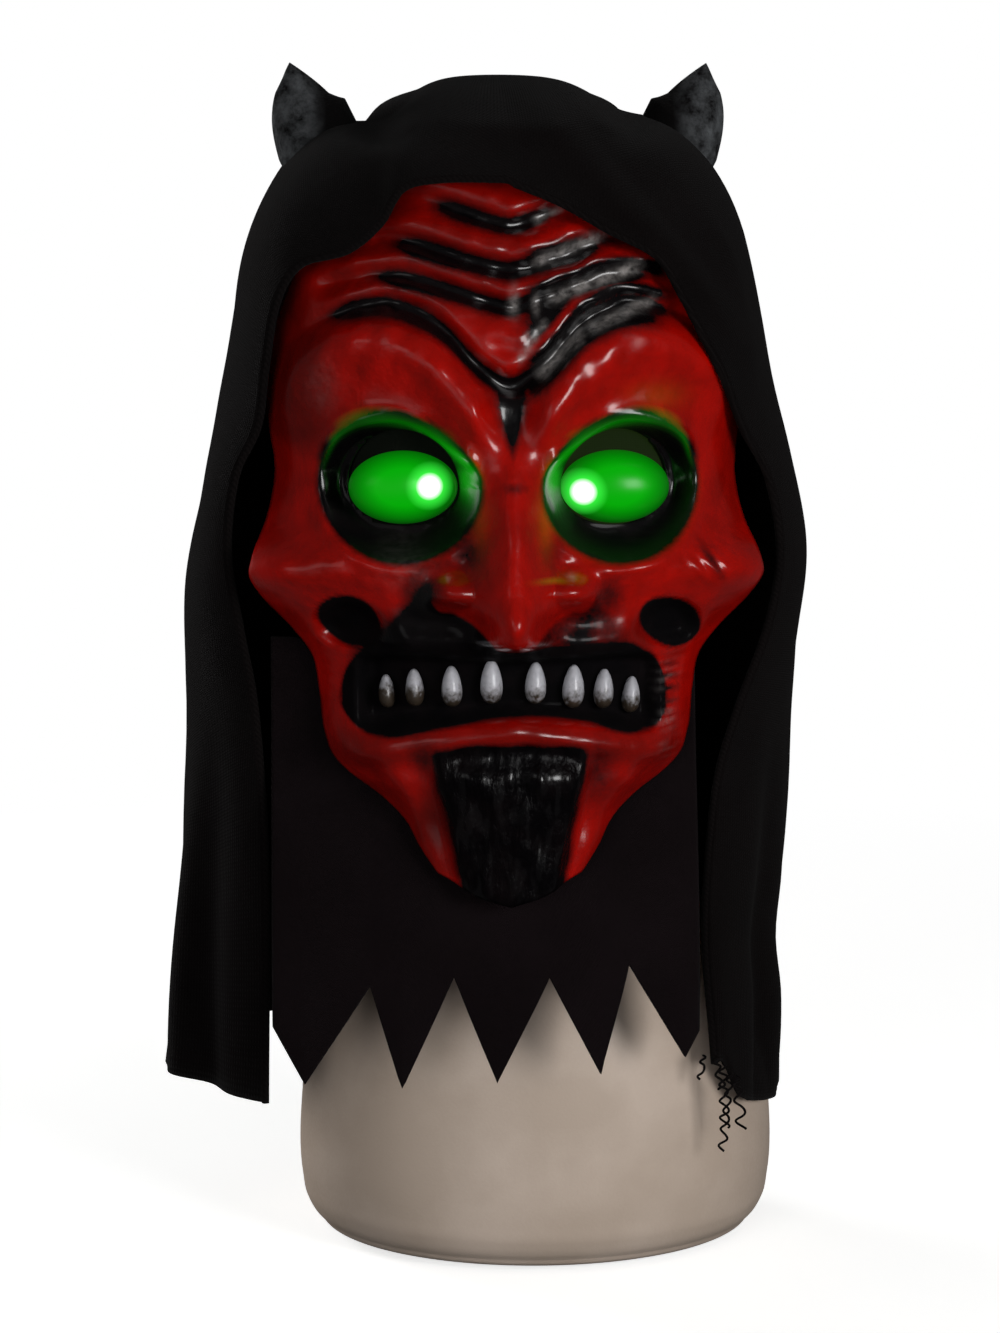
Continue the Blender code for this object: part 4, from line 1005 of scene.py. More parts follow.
def knit_fabric(name, settings, stitch_mm):
    """Brushed polyester jersey: matt near-black with rows of small loops and a soft nap.
    Real stitches are 0.7 mm; they are drawn a little coarser so that they show. A wave
    texture has scale * 20 / (2 pi) bands a metre, which gives the stitches their size."""
    material, tree, shader = new_material(name, roughness=0.92, sheen=0.02, specular=0.02)
    uv = add_node(tree, "TexCoord", take="UV")
    place = add_node(tree, "TexCoord", take="Object")
    scale = 2 * math.pi / (stitch_mm * MM) / 20
    rib = add_node(tree, "TexWave", {
        "Vector": uv, "Scale": scale, "Distortion": 0.4, "Detail": 1.0}, take="Fac",
        bands_direction="X")
    loop = add_node(tree, "TexWave", {
        "Vector": uv, "Scale": scale * 1.25, "Distortion": 0.6, "Detail": 1.0}, take="Fac",
        bands_direction="Y")
    nap = add_node(tree, "TexNoise", {
        "Vector": place, "Scale": 1 / (2.2 * MM), "Detail": 5.0, "Roughness": 0.7})
    worn = add_node(tree, "TexNoise", {
        "Vector": place, "Scale": 1 / (34.0 * MM), "Detail": 2.0, "Roughness": 0.55})
    faded = add_node(tree, "MapRange", {"Value": worn, "From Min": 0.35, "From Max": 0.7})
    faded = add_node(tree, "Math", {0: faded, 1: 0.45}, operation="MULTIPLY")
    brushed = add_node(tree, "Math", {0: nap, 1: 0.45}, operation="MULTIPLY")
    shade = add_node(tree, "Math", {0: faded, 1: brushed}, operation="ADD")
    tone = add_node(tree, "Mix", {
        0: shade, 6: colour(settings.black), 7: colour(settings.nap)}, take=2, data_type="RGBA")
    stitches = add_node(tree, "Math", {0: rib, 1: loop}, operation="MULTIPLY")
    raised = add_node(tree, "Math", {0: nap, 1: 1.1}, operation="MULTIPLY")
    height = add_node(tree, "Math", {0: stitches, 1: raised}, operation="ADD")
    relief = add_node(tree, "Bump", {"Height": height, "Distance": 0.45 * MM, "Strength": 0.45})
    set_inputs(tree, shader, {"Base Color": tone, "Sheen Roughness": 0.6, "Normal": relief})
    return material


# Bib

# Corners of the hem: place from the head's axis, and height above the tips as a share of
# the zigzag's depth
BIB_HEM = ((-82.5, 0.49), (-71.5, -0.05), (-48.5, 0.95), (-37.5, -0.03), (-19.5, 1.05),
           (-4.5, 0.05), (13.5, 1.05), (31.5, 0.11), (41.5, 1.14), (62.0, 0.20), (67.0, 0.45))
BIB_TIP = 78.0
BIB_TOOTH = 37.0
BIB_TOP = 190.0
BIB_SIDE_RISE = 42.0        # the top's corners go up beside the jaw by this much


def bib_sheet(front_y):
    """Curved apron: hangs from behind the jaw over the front of the foot. The hem goes
    straight from corner to corner, the height falls evenly to it, and the points curl."""
    places, shares = np.array(BIB_HEM).T
    x = np.concatenate([np.linspace(a, b, max(2, round((b - a) / 1.2)), endpoint=False)
                        for a, b in zip(places, places[1:])] + [places[-1:]])
    share = np.linspace(0, 1, 96)[:, None]
    hem = BIB_TIP + BIB_TOOTH * np.interp(x, places, shares)
    point = 1 - np.clip((hem - BIB_TIP) / BIB_TOOTH, 0, 1)
    top = BIB_TOP + BIB_SIDE_RISE * soft_step(50, 74, np.abs(x))
    z = top * (1 - share) + hem * share
    hang = soft_step(235, 105, z)
    y = -(56 + 31 * hang) + (0.0016 + 0.0012 * hang) * x ** 2
    y = y - 2.0 * share ** 6 * point * np.sin(x / 21.0 + 0.5) - 0.9 * hang * ripple(x / 11, z / 26, 2.0)
    grid = np.stack([HEAD_SHIFT + (x + 0 * z) * MM, y * MM, z * MM], axis=-1)
    grid[..., 1] += front_y - grid[..., 1].min()
    return grid


# Horns

HORN_LENGTH = 0.024
HORN_HALF_WIDTH = 0.020
HORN_HALF_DEPTH = 0.014


def horn_grid(side):
    """Leaning cone: ovals whose middle goes from the hood's corner to the tip and whose width
    shrinks as (1 - f)^0.95; soft creases run up it. The lowest ovals lie inside the hood."""
    f = np.linspace(-0.40, 1, 70)[:, None]
    turn = full_turn(64)[None, :]
    lean = np.array([side * 0.45, 0.0, 0.893])
    tip = np.array([HEAD_SHIFT + side * 0.075, -0.012, HEAD_TOP + 0.007])
    base = tip - lean * HORN_LENGTH
    rise = np.clip(f, 0, 1)
    middle = base + (tip - base) * f[..., None]
    start = np.array([side * 0.74, 0.0, -0.67])
    turned = np.clip(2 * rise, 0, 1)[..., None]
    flat = start * (1 - turned) + np.array([side * 1.0, 0, 0]) * turned
    flat = flat / np.linalg.norm(flat, axis=-1, keepdims=True)
    crease = 1 + 0.04 * np.sin(5 * turn + 6 * rise) * np.sin(np.pi * rise)
    wide = HORN_HALF_WIDTH * (1 - rise) ** 0.95 * crease
    thick = HORN_HALF_DEPTH * (1 - rise) ** 0.8 * crease
    wide = wide * np.where(np.cos(turn) < 0, 0.62 + 0.38 * rise, 1.0)
    across = np.array([0, 1.0, 0])
    return middle + flat * (wide * np.cos(turn))[..., None] + across * (thick * np.sin(turn))[..., None]


def horn_foam(name, side, settings):
    """Foam horn skinned with a printed knit: charcoal mottled with grey on its outer side and
    black towards its root."""
    material, tree, shader = new_material(name, roughness=0.85, sheen=0.02, specular=0.05)
    place = add_node(tree, "TexCoord", take="Object")
    across = add_node(tree, "SeparateXYZ", {"Vector": place}, take="X")
    root, flank = HEAD_SHIFT + side * 0.062, HEAD_SHIFT + side * 0.071
    outer = add_node(tree, "MapRange", {"Value": across, "From Min": root, "From Max": flank})
    mottle = add_node(tree, "TexNoise", {
        "Vector": place, "Scale": 1 / (6.0 * MM), "Detail": 5.0, "Roughness": 0.65})
    printed = add_node(tree, "MapRange", {"Value": mottle, "From Min": 0.32, "From Max": 0.68})
    share = add_node(tree, "Math", {0: outer, 1: printed}, operation="MULTIPLY")
    tone = add_node(tree, "Mix", {
        0: share, 6: colour(settings.black), 7: colour(settings.grey)}, take=2, data_type="RGBA")
    yarn = add_node(tree, "TexNoise", {
        "Vector": place, "Scale": 1 / (1.4 * MM), "Detail": 3.0, "Roughness": 0.55})
    height = add_node(tree, "Math", {0: mottle, 1: yarn}, operation="ADD")
    relief = add_node(tree, "Bump", {"Height": height, "Distance": 0.6 * MM, "Strength": 0.7})
    set_inputs(tree, shader, {"Base Color": tone, "Normal": relief})
    return material


# Eyes

def lit_dome(name, side, settings):
    """Translucent green polystyrene lit from behind: it glows all over, whitest where the
    light's nose touches it, and darkens to its rim. Polished outside. Distances from the
    hot spot and the oval's own radius are taken in the plane of the face."""
    material, tree, shader = new_material(name, roughness=0.30, specular=0.25)
    place = add_node(tree, "TexCoord", take="Object")
    flat = add_node(tree, "VectorMath", {0: place, 1: (1, 0, 1)}, operation="MULTIPLY")
    middle = dome_seat(side)
    towards_nose = side * 0.27 * EYE_WIDTH * MM
    spot = (middle.x - towards_nose - 0.0013, 0, middle.z - side * 0.0011)
    from_spot = add_node(tree, "VectorMath", {0: flat, 1: spot}, take="Value", operation="DISTANCE")
    offset = add_node(tree, "VectorMath", {
        0: flat, 1: (middle.x, 0, middle.z + 0.001)}, operation="SUBTRACT")
    oval = add_node(tree, "VectorMath", {
        0: offset, 1: (2 / (EYE_WIDTH * MM), 0, 2 / (EYE_HEIGHT * MM))}, operation="MULTIPLY")
    radius = add_node(tree, "VectorMath", {0: oval}, take="Value", operation="LENGTH")
    rim = add_node(tree, "MapRange", {"Value": radius, "From Min": 0.5, "From Max": 1.02})
    body = add_node(tree, "Mix", {
        0: rim, 6: colour(settings.glow), 7: colour("#034A04")}, take=2, data_type="RGBA")
    near = add_node(tree, "MapRange", {"Value": from_spot, "From Min": 0.0085, "From Max": 0.0035})
    halo = add_node(tree, "Mix", {0: near, 6: body, 7: colour("#3CFF46")}, take=2, data_type="RGBA")
    nearest = add_node(tree, "MapRange", {"Value": from_spot, "From Min": 0.0048, "From Max": 0.003})
    core = add_node(tree, "Mix", {0: nearest, 6: halo, 7: (1.3, 1.5, 1.3, 1)}, take=2, data_type="RGBA")
    wave = add_node(tree, "TexNoise", {
        "Vector": place, "Scale": 1 / (9.0 * MM), "Detail": 1.0, "Roughness": 0.55})
    relief = add_node(tree, "Bump", {"Height": wave, "Distance": 0.25 * MM, "Strength": 0.4})
    set_inputs(tree, shader, {"Base Color": colour("#023C05"), "Emission Color": core,
                              "Emission Strength": settings.strength, "Normal": relief})
    return material


def dome_grid(side):
    """Half an oval shell: half width, depth and half height follow the cosine and sine of the
    tilt from the rim to the front."""
    tilt = np.linspace(0, np.pi / 2, 26)[:, None]
    turn = full_turn(72)[None, :]
    middle = dome_seat(side)
    return np.stack([middle.x + EYE_WIDTH / 2 * MM * np.cos(tilt) * np.cos(turn),
                     middle.y + 0.002 - EYE_BULGE * MM * np.sin(tilt) + 0 * turn,
                     middle.z + EYE_HEIGHT / 2 * MM * np.cos(tilt) * np.sin(turn)], axis=-1)


def gauze_and_shade_grid(side):
    """Band behind the gap round a dome: rings of the opening's own shape from 0.6 to 1.14 of
    its size, 2.6 mm behind the face's front or 4 mm behind the dome's seat, whichever lies
    deeper, but at least 0.7 mm in front of the display head's skin. The black band stands
    partly for a gauze backing and partly for painted shade, the shade inside the mask."""
    radius = np.linspace(0.60, 1.14, 10)[:, None]
    turn = full_turn(96)[None, :]
    high = EYE_HEIGHT / 2 + EYE_GAP + SLIT_HEIGHT * soft_step(-0.1, 0.3, np.sin(turn))
    x = side * EYE_MIDDLE[0] + radius * (EYE_WIDTH / 2 + EYE_GAP) * np.cos(turn)
    z = EYE_MIDDLE[1] + radius * high * np.sin(turn)
    seat = -dome_seat(side).y / MM - 4.0
    wide, front, _ = head_oval((MASK_TOP / MM + z - CHIN - FACE_HEIGHT) * MM)
    skin = front * np.sqrt(np.clip(1 - (x * MM / wide) ** 2, 0, 1)) / MM
    reach = np.maximum(np.minimum(face_depth(x, z) - 2.6, seat), skin + 0.7)
    return np.stack([HEAD_SHIFT + x * MM, -reach * MM, part_height(z)], axis=-1)


# Stage. The camera's focal length is a share of the picture's height.

CAMERA_PLACE = (-0.0768, -1.2977, 0.400)
CAMERA_TURN = -2.8      # degrees to the side
CAMERA_PITCH = 8.22     # degrees down
CAMERA_FOCUS = 3529 / 1333
CAMERA_SENSOR = 36
EYE_SPILL = {"left": 0.0003, "right": 0.0009}


# Settings that a user would change

def tone(name, description, code):
    """Colour property."""
    return FloatVectorProperty(name=name, description=description, subtype="COLOR", size=3,
                               min=0.0, max=1.0, default=linear(code))


class DisplayHeadSettings(bpy.types.PropertyGroup):
    """Display head."""
    beige: tone("Plastic", "Colour of the moulded display head", "#B5A598")


class MaskSettings(bpy.types.PropertyGroup):
    """Mask and teeth."""
    wall: FloatProperty(name="Wall", description="Thickness of the moulded sheet", unit="LENGTH",
                        default=0.0016, min=0.0005, max=0.004)
    red: tone("Red", "Sprayed colour of the raised forms", "#980701")
    black: tone("Black", "Airbrushed colour of the recesses", "#030203")


class EyeSettings(bpy.types.PropertyGroup):
    """Lit eyes."""
    glow: tone("Glow", "Colour of the lit domes", "#01A202")
    strength: FloatProperty(name="Strength", description="Brightness of the glow", default=1.0,
                            min=0.0, max=10.0)


class HoodSettings(bpy.types.PropertyGroup):
    """Hood."""
    thickness: FloatProperty(name="Thickness", description="Thickness of the knit", unit="LENGTH",
                             default=0.0020, min=0.0005, max=0.005)
    black: tone("Black", "Colour of the knit", "#050303")
    nap: tone("Nap", "Colour of its raised and worn places", "#0B0808")


class BibSettings(bpy.types.PropertyGroup):
    """Bib."""
    thickness: FloatProperty(name="Thickness", description="Thickness of the cloth", unit="LENGTH",
                             default=0.0016, min=0.0005, max=0.005)
    black: tone("Black", "Colour of the cloth", "#090506")
    nap: tone("Nap", "Colour of its raised and worn places", "#120C0E")


class HornSettings(bpy.types.PropertyGroup):
    """Horns."""
    grey: tone("Grey", "Mottling of the outer side", "#4A4C4E")
    black: tone("Black", "Colour towards the root", "#050404")


class StageSettings(bpy.types.PropertyGroup):
    """Floor, lights and camera."""
    floor: tone("Floor", "Colour of the pale floor", "#EDEDEB")
    key: FloatProperty(name="Key light", description="Power of the soft light on the right",
                       unit="POWER", default=17.0, min=0.0, max=200.0)
    highlight: FloatProperty(name="Highlight", description="Power of the small light in the gloss",
                             unit="POWER", default=14.0, min=0.0, max=50.0)


SETTINGS = {"mask_display_head": DisplayHeadSettings, "mask_face": MaskSettings,
            "mask_eyes": EyeSettings, "mask_hood": HoodSettings, "mask_bib": BibSettings,
            "mask_horns": HornSettings, "mask_stage": StageSettings}


# Operators, one for each piece or group of like pieces

class AddDisplayHead(bpy.types.Operator):
    """Build the beige display head as one smooth loft through its oval sections"""
    bl_idname = "devil_mask.add_display_head"
    bl_label = "Display head"

    def execute(self, context):
        """Ring of each height: an oval with its own front and back reach, closed at both ends."""
        settings = context.scene.mask_display_head
        height = np.array([row[0] for row in head_stations()])
        steps = np.linspace(0, 1, 10)[:-1]
        z = (height[:-1, None] + np.diff(height)[:, None] * steps).ravel()
        z = np.append(z, height[-1])[:, None] * MM
        turn = full_turn(144)[None, :]
        wide, front, back = head_oval(z)
        reach = np.where(np.cos(turn) > 0, front, back)
        rings = np.stack([head_shift(z) + wide * np.sin(turn), -reach * np.cos(turn),
                          z + 0 * turn], axis=-1)
        faces = grid_faces(len(z), turn.size, around=True)
        last = (len(z) - 1) * turn.size
        faces += [list(range(turn.size)), list(range(last, last + turn.size))]
        head = recalculate(add_piece("moulded_display_head", rings.reshape(-1, 3), faces))
        give(head, self.material(settings))
        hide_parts("display_head")
        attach(head, "root")
        return {"FINISHED"}

    def material(self, settings):
        """Injection-moulded polystyrene: satin beige, faint mould grain, dust in soft clouds."""
        material, tree, shader = new_material("Injection-moulded polystyrene, beige", roughness=0.48,
                                              specular=0.35)
        place = add_node(tree, "TexCoord", take="Object")
        cloud, grain = [
            add_node(tree, "TexNoise", {
                "Vector": place, "Scale": 1 / (size * MM), "Detail": detail, "Roughness": 0.55})
            for size, detail in ((40.0, 3.0), (1.2, 4.0))]
        dust = add_node(tree, "MapRange", {"Value": cloud, "From Min": 0.35, "From Max": 0.65})
        speckle = add_node(tree, "Math", {0: grain, 1: 0.3}, operation="MULTIPLY")
        shade = add_node(tree, "Math", {0: dust, 1: speckle}, operation="ADD")
        tone = add_node(tree, "Mix", {
            0: shade, 6: colour(settings.beige), 7: colour("#A8988A")}, take=2, data_type="RGBA")
        rough = add_node(tree, "MapRange", {
            "Value": grain, "From Min": 0.3, "From Max": 0.7, "To Min": 0.42, "To Max": 0.56})
        relief = add_node(tree, "Bump", {"Height": grain, "Distance": 0.12 * MM, "Strength": 0.5})
        set_inputs(tree, shader, {"Base Color": tone, "Roughness": rough, "Normal": relief})
        return material


class AddMask(bpy.types.Operator):
    """Build the moulded face with its eye openings, and its teeth"""
    bl_idname = "devil_mask.add_mask"
    bl_label = "Mask and teeth"

    def execute(self, context):
        """Grid over the face, cut at the eye openings and given the moulded sheet's wall."""
        settings = context.scene.mask_face
        x, z = face_grid()
        faces = np.array(grid_faces(*x.shape))
        x, z, faces = cut_openings(x.ravel(), z.ravel(), faces)
        used = np.unique(faces)
        order = np.zeros(len(x), int)
        order[used] = np.arange(len(used))
        x, z, faces = x[used], z[used], order[faces]
        # Among these paints, the darkened red is painted shade, the green is painted light of the eyes,
        # and the pale streaks are painted highlights
        paint = {"Soot": soot_share(x, z), "PaintedShade": painted_shade_share(x, z), "Glow": painted_green_light_share(x, z),
                 "Bare": bare_share(x, z), "Hair": beard_share(x, z), "PaintedHighlight": painted_highlight_share(x, z)}
        mask = add_piece("moulded_face", face_point(x, z), faces.tolist(), paint=paint)
        turn_outward(mask, BEHIND_FACE)
        add_wall(mask, settings.wall, -1.0, even=False)
        give(mask, moulded_red(settings))
        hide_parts("mask")
        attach(mask, "root")
        teeth = add_teeth()
        give(teeth, tooth_resin())
        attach(teeth, "root")
        return {"FINISHED"}


class AddEyes(bpy.types.Operator):
    """Build the two lit domes, and finish the lights behind them"""
    bl_idname = "devil_mask.add_eyes"
    bl_label = "Lit eyes"

    def execute(self, context):
        """A thin oval shell in each opening."""
        settings = context.scene.mask_eyes
        for side, word in ((-1, "left"), (1, "right")):
            grid = dome_grid(side)
            dome = add_piece("lit_dome_" + word, grid.reshape(-1, 3),
                             grid_faces(*grid.shape[:2], around=True), merge=1e-6)
            turn_outward(dome, grid[0].mean(axis=0))
            add_wall(dome, DOME_WALL, -1.0)
            give(dome, lit_dome("Translucent polystyrene, lit green " + word, side, settings))
            dome.visible_diffuse = False
            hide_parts("eye_dome_" + word)
            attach(dome, "root")
            give(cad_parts["eye_led_" + word], self.light_material(word))
            # Black band behind each gap: a gauze backing and painted shade inside the mask in one
            grid = gauze_and_shade_grid(side)
            gauze = add_piece("eye_gauze_and_shade_" + word, grid.reshape(-1, 3),
                              grid_faces(*grid.shape[:2], around=True))
            turn_outward(gauze, BEHIND_FACE)
            add_wall(gauze, GAUZE_WALL, -1.0)
            give(gauze, self.gauze_and_shade_material(word))
            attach(gauze, "root")
        return {"FINISHED"}

    def gauze_and_shade_material(self, word):
        """Black polyester gauze that the wearer sees through: fine crossed threads. Its black also
        stands for painted shade inside the mask, and both glow faintly with painted green light,
        the right one more."""
        material, tree, shader = new_material("Woven polyester gauze, black " + word,
                                              roughness=0.9, specular=0.05)
        place = add_node(tree, "TexCoord", take="Object")
        across, up = [
            add_node(tree, "TexWave", {"Vector": place, "Scale": 500.0}, take="Fac",
                     bands_direction=way) for way in ("X", "Z")]
        threads = add_node(tree, "Math", {0: across, 1: up}, operation="MAXIMUM")
        tone = add_node(tree, "Mix", {
            0: threads, 6: (0, 0, 0, 1), 7: colour("#0A0A08")}, take=2, data_type="RGBA")
        # Painted green light: the threads' emission stands in for the eyes' light caught in them
        light = linear("#0B1404" if word == "right" else "#010201")
        lit = add_node(tree, "Mix", {
            0: threads, 6: colour(light), 7: colour([3 * v for v in light])}, take=2, data_type="RGBA")
        set_inputs(tree, shader, {"Base Color": tone, "Emission Color": lit, "Emission Strength": 0.8})
        return material

    def light_material(self, word):
        """Clear epoxy around a lit chip: bright and slightly uneven."""
        material, tree, shader = new_material("Epoxy light, lit " + word, roughness=0.12)
        place = add_node(tree, "TexCoord", take="Object")
        cloud = add_node(tree, "TexNoise", {
            "Vector": place, "Scale": 1 / (3.0 * MM), "Detail": 3.0, "Roughness": 0.55})
        tone, lit = [
            add_node(tree, "Mix", {0: cloud, 6: colour(code), 7: (1, 1, 1, 1)}, take=2,
                     data_type="RGBA") for code in ("#E9FFE9", "#7CFF82")]
        set_inputs(tree, shader, {"Base Color": tone, "Emission Color": lit, "Emission Strength": 0.6})
        return material


class AddHood(bpy.types.Operator):
    """Build the knit hood with its rolled face opening and frayed threads"""
    bl_idname = "devil_mask.add_hood"
    bl_label = "Hood"

    def execute(self, context):
        """One sheet sewn along the crown, a tube along its face opening, and loose threads."""
        settings = context.scene.mask_hood
        grid = hood_sheet()
        hood = add_piece("knit_hood", grid.reshape(-1, 3), grid_faces(*grid.shape[:2]),
                         uv=cloth_map(grid), merge=1e-5)
        turn_outward(hood, HEAD_MIDDLE)
        add_wall(hood, settings.thickness, 1.0)
        give(hood, knit_fabric("Brushed polyester jersey, black", settings, stitch_mm=1.3))
        edge = np.concatenate([grid[::-1, 0], grid[1:, -1]])
        away = edge - np.array(HEAD_MIDDLE)
        away = away / np.linalg.norm(away, axis=-1, keepdims=True)
        roll = add_tubes("hood_rolled_edge", [edge + away * ROLL_LIFT], [ROLL_RADIUS], 10, [away])
        give(roll, self.edge_material(settings))
        threads = self.add_threads(grid)
        give(threads, self.edge_material(settings))
        for piece in (hood, roll, threads):
            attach(piece, "root")
        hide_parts("hood")
        return {"FINISHED"}

    def edge_material(self, settings):
        """Overlocked edge: tight turns of the same black yarn."""
        material, tree, shader = new_material("Overlocked yarn edge, black", roughness=0.9, sheen=0.02,
                                              specular=0.06)
        place = add_node(tree, "TexCoord", take="Object")
        yarn = add_node(tree, "TexWave", {
            "Vector": place, "Scale": 300.0, "Distortion": 1.5}, take="Fac", bands_direction="DIAGONAL")
        tone = add_node(tree, "Mix", {
            0: yarn, 6: colour(settings.black), 7: colour(settings.nap)}, take=2, data_type="RGBA")
        relief = add_node(tree, "Bump", {"Height": yarn, "Distance": 0.2 * MM, "Strength": 0.5})
        set_inputs(tree, shader, {"Base Color": tone, "Normal": relief})
        return material

    def add_threads(self, grid):
        """Ravelled loops under the torn corner: each hangs straight down while it swings from
        side to side as a sine, with its own length, pitch and place."""
        corner = grid[-1, 0]
        t = np.linspace(0, 1, 60)
        paths = []
        for start, length, swing, pitch, lean in ((0.000, 0.013, 0.0013, 3.0, 0.003),
                                                  (0.003, 0.024, 0.0016, 4.6, 0.001),
                                                  (0.006, 0.030, 0.0013, 5.3, -0.003),
                                                  (0.008, 0.020, 0.0018, 3.4, 0.002),
                                                  (-0.004, 0.009, 0.0010, 2.2, -0.001)):
            wave = np.sin(2 * np.pi * pitch * t + 1.4 * np.sin(5 * t))
            x = corner[0] + start + lean * t + swing * wave * soft_step(0, 0.1, t)
            y = corner[1] - 0.002 - 0.05 * start + 0.0009 * np.cos(2 * np.pi * pitch * t)
            z = corner[2] + 0.003 - 0.9 * max(start, 0) - length * t
            paths.append(np.stack([x, y, z], axis=-1))
        guide = np.array([0.0, 1.0, 0.0])
        radii = [THREAD_RADIUS] * len(paths)
        return add_tubes("hood_frayed_threads", paths, radii, 6, [guide] * len(paths))


class AddBib(bpy.types.Operator):
    """Build the bib with its zigzag hem"""
    bl_idname = "devil_mask.add_bib"
    bl_label = "Bib"

    def execute(self, context):
        """Curved sheet; its front is where the frame's bib has its own."""
        settings = context.scene.mask_bib
        grid = bib_sheet(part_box("bib")[0].y + settings.thickness)
        bib = add_piece("zigzag_bib", grid.reshape(-1, 3), grid_faces(*grid.shape[:2]),
                        uv=cloth_map(grid))
        turn_outward(bib, BEHIND_FACE)
        add_wall(bib, settings.thickness, 1.0)
        give(bib, knit_fabric("Woven felted polyester, brown-black", settings, stitch_mm=1.1))
        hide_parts("bib")
        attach(bib, "root")
        return {"FINISHED"}


class AddHorns(bpy.types.Operator):
    """Build the two foam horns on the hood's top corners"""
    bl_idname = "devil_mask.add_horns"
    bl_label = "Horns"

    def execute(self, context):
        """A closed curved cone at each corner, its root inside the hood."""
        settings = context.scene.mask_horns
        for side, word in ((-1, "left"), (1, "right")):
            grid = horn_grid(side)
            rows, columns = grid.shape[:2]
            faces = grid_faces(rows, columns, around=True) + [list(range(columns))]
            horn = recalculate(add_piece("foam_horn_" + word, grid.reshape(-1, 3), faces, merge=1e-6))
            give(horn, horn_foam("Foam skinned with printed knit " + word, side, settings))
            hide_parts("horn_" + word)
            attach(horn, "root")
        return {"FINISHED"}


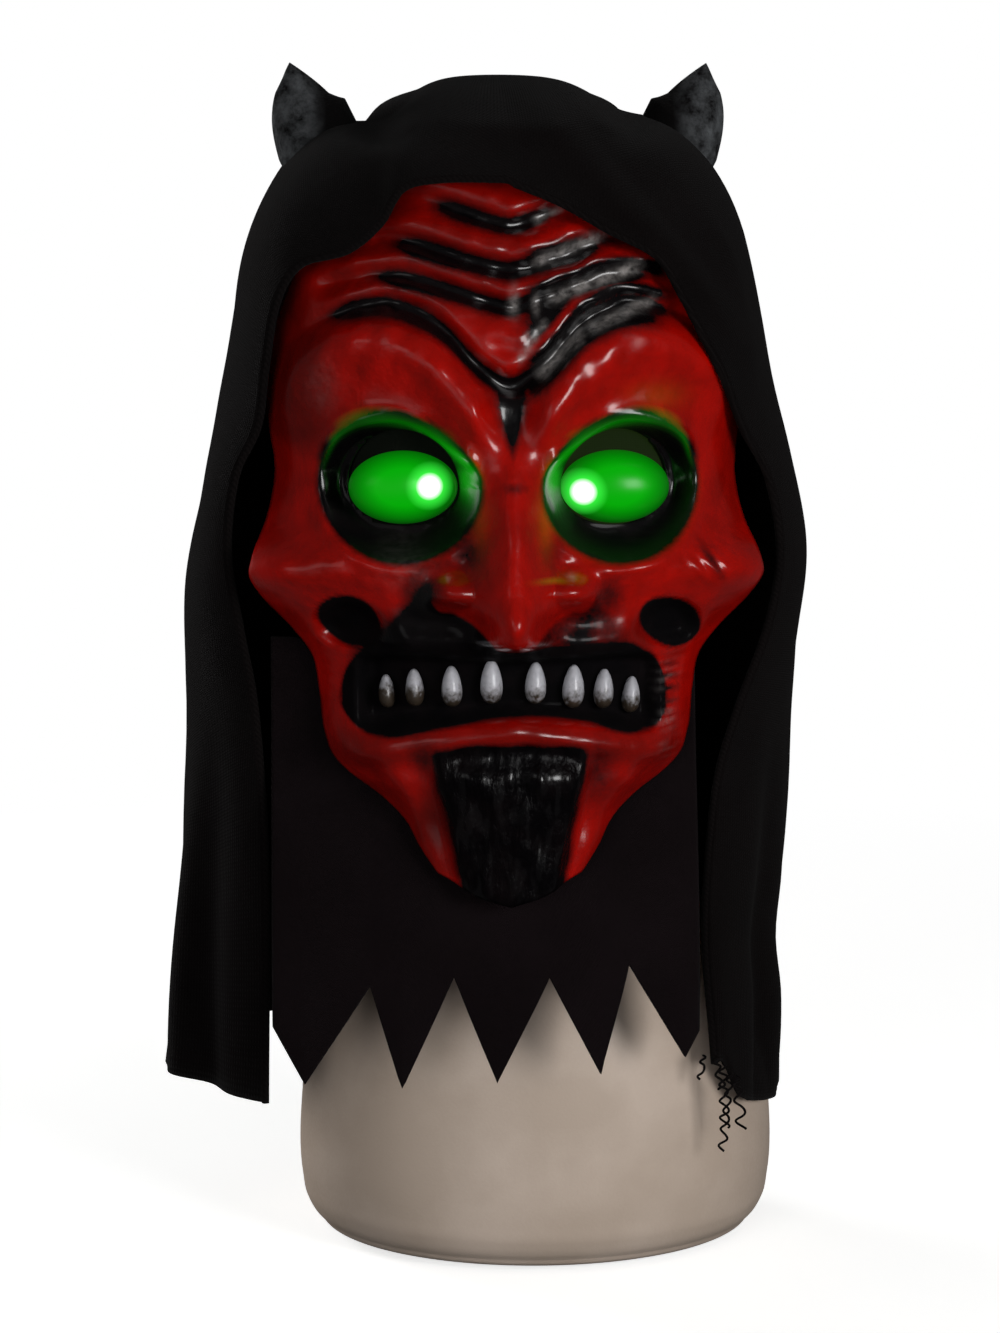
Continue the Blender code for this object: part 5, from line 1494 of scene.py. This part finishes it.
class AddStage(bpy.types.Operator):
    """Build the pale floor and backdrop, the studio lights and the camera"""
    bl_idname = "devil_mask.add_stage"
    bl_label = "Stage"

    def execute(self, context):
        """Floor and backdrop, soft lights, the eyes' own small lights, and the camera."""
        settings = context.scene.mask_stage
        self.add_floor(settings)
        self.add_backdrop()
        self.add_area("Key", (1.00, -1.22, 0.47), 0.6, settings.key * 1.05, glossy=False)
        self.add_area("Fill", (-0.78, -1.38, 0.30), 0.9, settings.key * 0.56, glossy=False)
        self.add_area("Front", (0.00, -1.8, 0.45), 0.8, settings.key * 0.14, glossy=False)
        self.add_area("Top", (0.15, 0.35, 1.5), 0.9, settings.key * 0.03, glossy=False)
        self.add_area("Back", (-1.3, 1.2, 0.40), 0.8, settings.key * 1.6, glossy=False)
        self.add_area("Highlight", (0.68, -1.34, 0.60), 0.60, settings.highlight, diffuse=False)
        self.add_area("Sheen", (-1.00, -0.85, 0.75), 0.5, settings.highlight * 0.04, diffuse=False)
        for side, word in ((-1, "left"), (1, "right")):
            self.add_eye_light(side, word)
        world = bpy.data.worlds.new("Studio")
        world.use_nodes = True
        set_inputs(world.node_tree, world.node_tree.nodes["Background"],
                   {"Color": colour("#FFFFFF"), "Strength": 0.05})
        context.scene.world = world
        context.scene.view_settings.view_transform = "Standard"
        self.add_camera(context)
        return {"FINISHED"}

    def add_floor(self, settings):
        """Large flat square at the foot's underside. It takes a soft shadow near the foot and
        brightens to the backdrop's white further out."""
        lines = 9
        line = np.linspace(-14, 14, lines)
        x, y = np.meshgrid(line, line)
        floor = add_piece("floor", np.stack([x, y, 0 * x - 0.0002], axis=-1).reshape(-1, 3),
                          grid_faces(lines, lines))
        material, tree, shader = new_material("Matt paper floor, pale", roughness=0.9, specular=0.0)
        place = add_node(tree, "TexCoord", take="Object")
        fibre = add_node(tree, "TexNoise", {
            "Vector": place, "Scale": 1 / (30.0 * MM), "Detail": 3.0, "Roughness": 0.55})
        away = add_node(tree, "VectorMath", {0: place}, take="Value", operation="LENGTH")
        far = add_node(tree, "MapRange", {"Value": away, "From Min": 0.2, "From Max": 0.9})
        paper = add_node(tree, "Mix", {
            0: fibre, 6: colour(settings.floor), 7: colour("#F2F2F0")}, take=2, data_type="RGBA")
        tone = add_node(tree, "Mix", {0: far, 6: paper, 7: (0, 0, 0, 1)}, take=2, data_type="RGBA")
        white = add_node(tree, "MapRange", {
            "Value": far, "From Min": 0.0, "From Max": 1.0, "To Min": 0.66})
        set_inputs(tree, shader, {"Base Color": tone, "Emission Color": (1, 1, 1, 1),
                                  "Emission Strength": white})
        give(floor, material)
        floor.visible_diffuse = False
        floor.visible_glossy = False

    def add_backdrop(self):
        """White shell far round the stage. It is seen by the camera and lights nothing."""
        rows, columns, radius = 16, 48, 13.5
        tilt = np.linspace(-0.05, np.pi / 2, rows)[:, None]
        turn = full_turn(columns)[None, :]
        grid = radius * np.stack([np.cos(tilt) * np.cos(turn), np.cos(tilt) * np.sin(turn),
                                  np.sin(tilt) + 0 * turn], axis=-1)
        shell = add_piece("backdrop", grid.reshape(-1, 3), grid_faces(rows, columns, around=True),
                          merge=1e-4)
        material, tree, shader = new_material("White backdrop", roughness=1.0, specular=0.0)
        set_inputs(tree, shader, {"Base Color": (0, 0, 0, 1), "Emission Color": (1, 1, 1, 1),
                                  "Emission Strength": 1.0})
        give(shell, material)
        shell.visible_diffuse = False
        shell.visible_glossy = False
        shell.visible_transmission = False
        shell.visible_shadow = False

    def add_area(self, name, place, size, power, glossy=True, diffuse=True):
        """Square light aimed at the face: soft ones light it, small ones only shine in its gloss."""
        light = bpy.data.lights.new(name, "AREA")
        light.size = size
        light.energy = power
        lamp = bpy.data.objects.new(name, light)
        lamp.location = place
        aim = Vector(HEAD_MIDDLE) - Vector(place)
        lamp.rotation_euler = aim.to_track_quat("-Z", "Y").to_euler()
        lamp.visible_glossy = glossy
        lamp.visible_diffuse = diffuse
        bpy.context.scene.collection.objects.link(lamp)

    def add_eye_light(self, side, word):
        """Green spill of one lit eye on the socket around it."""
        light = bpy.data.lights.new("Eye spill " + word, "POINT")
        light.color = linear("#10FF18")
        light.energy = EYE_SPILL[word]
        light.shadow_soft_size = 0.006
        lamp = bpy.data.objects.new("Eye spill " + word, light)
        middle = dome_seat(side)
        lamp.location = middle + Vector((0, -0.022, 0.002))
        lamp.visible_camera = False
        lamp.visible_glossy = False
        bpy.context.scene.collection.objects.link(lamp)

    def add_camera(self, context):
        """Long lens, a little above the mask and a little to its right, looking down on it."""
        camera = bpy.data.cameras.new("Camera")
        camera.sensor_width = CAMERA_SENSOR
        camera.lens = CAMERA_FOCUS * CAMERA_SENSOR
        body = bpy.data.objects.new("Camera", camera)
        body.location = CAMERA_PLACE
        body.rotation_euler = (math.pi / 2 - math.radians(CAMERA_PITCH), 0, math.radians(CAMERA_TURN))
        context.scene.collection.objects.link(body)
        context.scene.camera = body


OPERATORS = (AddDisplayHead, AddMask, AddEyes, AddHood, AddBib, AddHorns, AddStage)


class MaskPanel(bpy.types.Panel):
    """Sidebar tab that lists the pieces and their settings"""
    bl_idname = "VIEW3D_PT_devil_mask"
    bl_label = "Devil mask"
    bl_space_type = "VIEW_3D"
    bl_region_type = "UI"
    bl_category = "Devil mask"

    def draw(self, context):
        """One button for each operator over the settings that it reads."""
        for operator, (key, group) in zip(OPERATORS, SETTINGS.items()):
            box = self.layout.box()
            box.operator(operator.bl_idname)
            for name in group.__annotations__:
                box.prop(getattr(context.scene, key), name)


def register():
    """Register the settings, the operators and the panel."""
    for key, group in SETTINGS.items():
        bpy.utils.register_class(group)
        setattr(bpy.types.Scene, key, PointerProperty(type=group))
    for operator in OPERATORS:
        bpy.utils.register_class(operator)
    bpy.utils.register_class(MaskPanel)


def unregister():
    """Take everything that register() added away again."""
    bpy.utils.unregister_class(MaskPanel)
    for operator in reversed(OPERATORS):
        bpy.utils.unregister_class(operator)
    for key, group in reversed(SETTINGS.items()):
        delattr(bpy.types.Scene, key)
        bpy.utils.unregister_class(group)


def main():
    """Build every piece."""
    register()
    bpy.ops.devil_mask.add_display_head()
    bpy.ops.devil_mask.add_mask()
    bpy.ops.devil_mask.add_eyes()
    bpy.ops.devil_mask.add_hood()
    bpy.ops.devil_mask.add_bib()
    bpy.ops.devil_mask.add_horns()
    bpy.ops.devil_mask.add_stage()


if __name__ == "__main__":
    main()
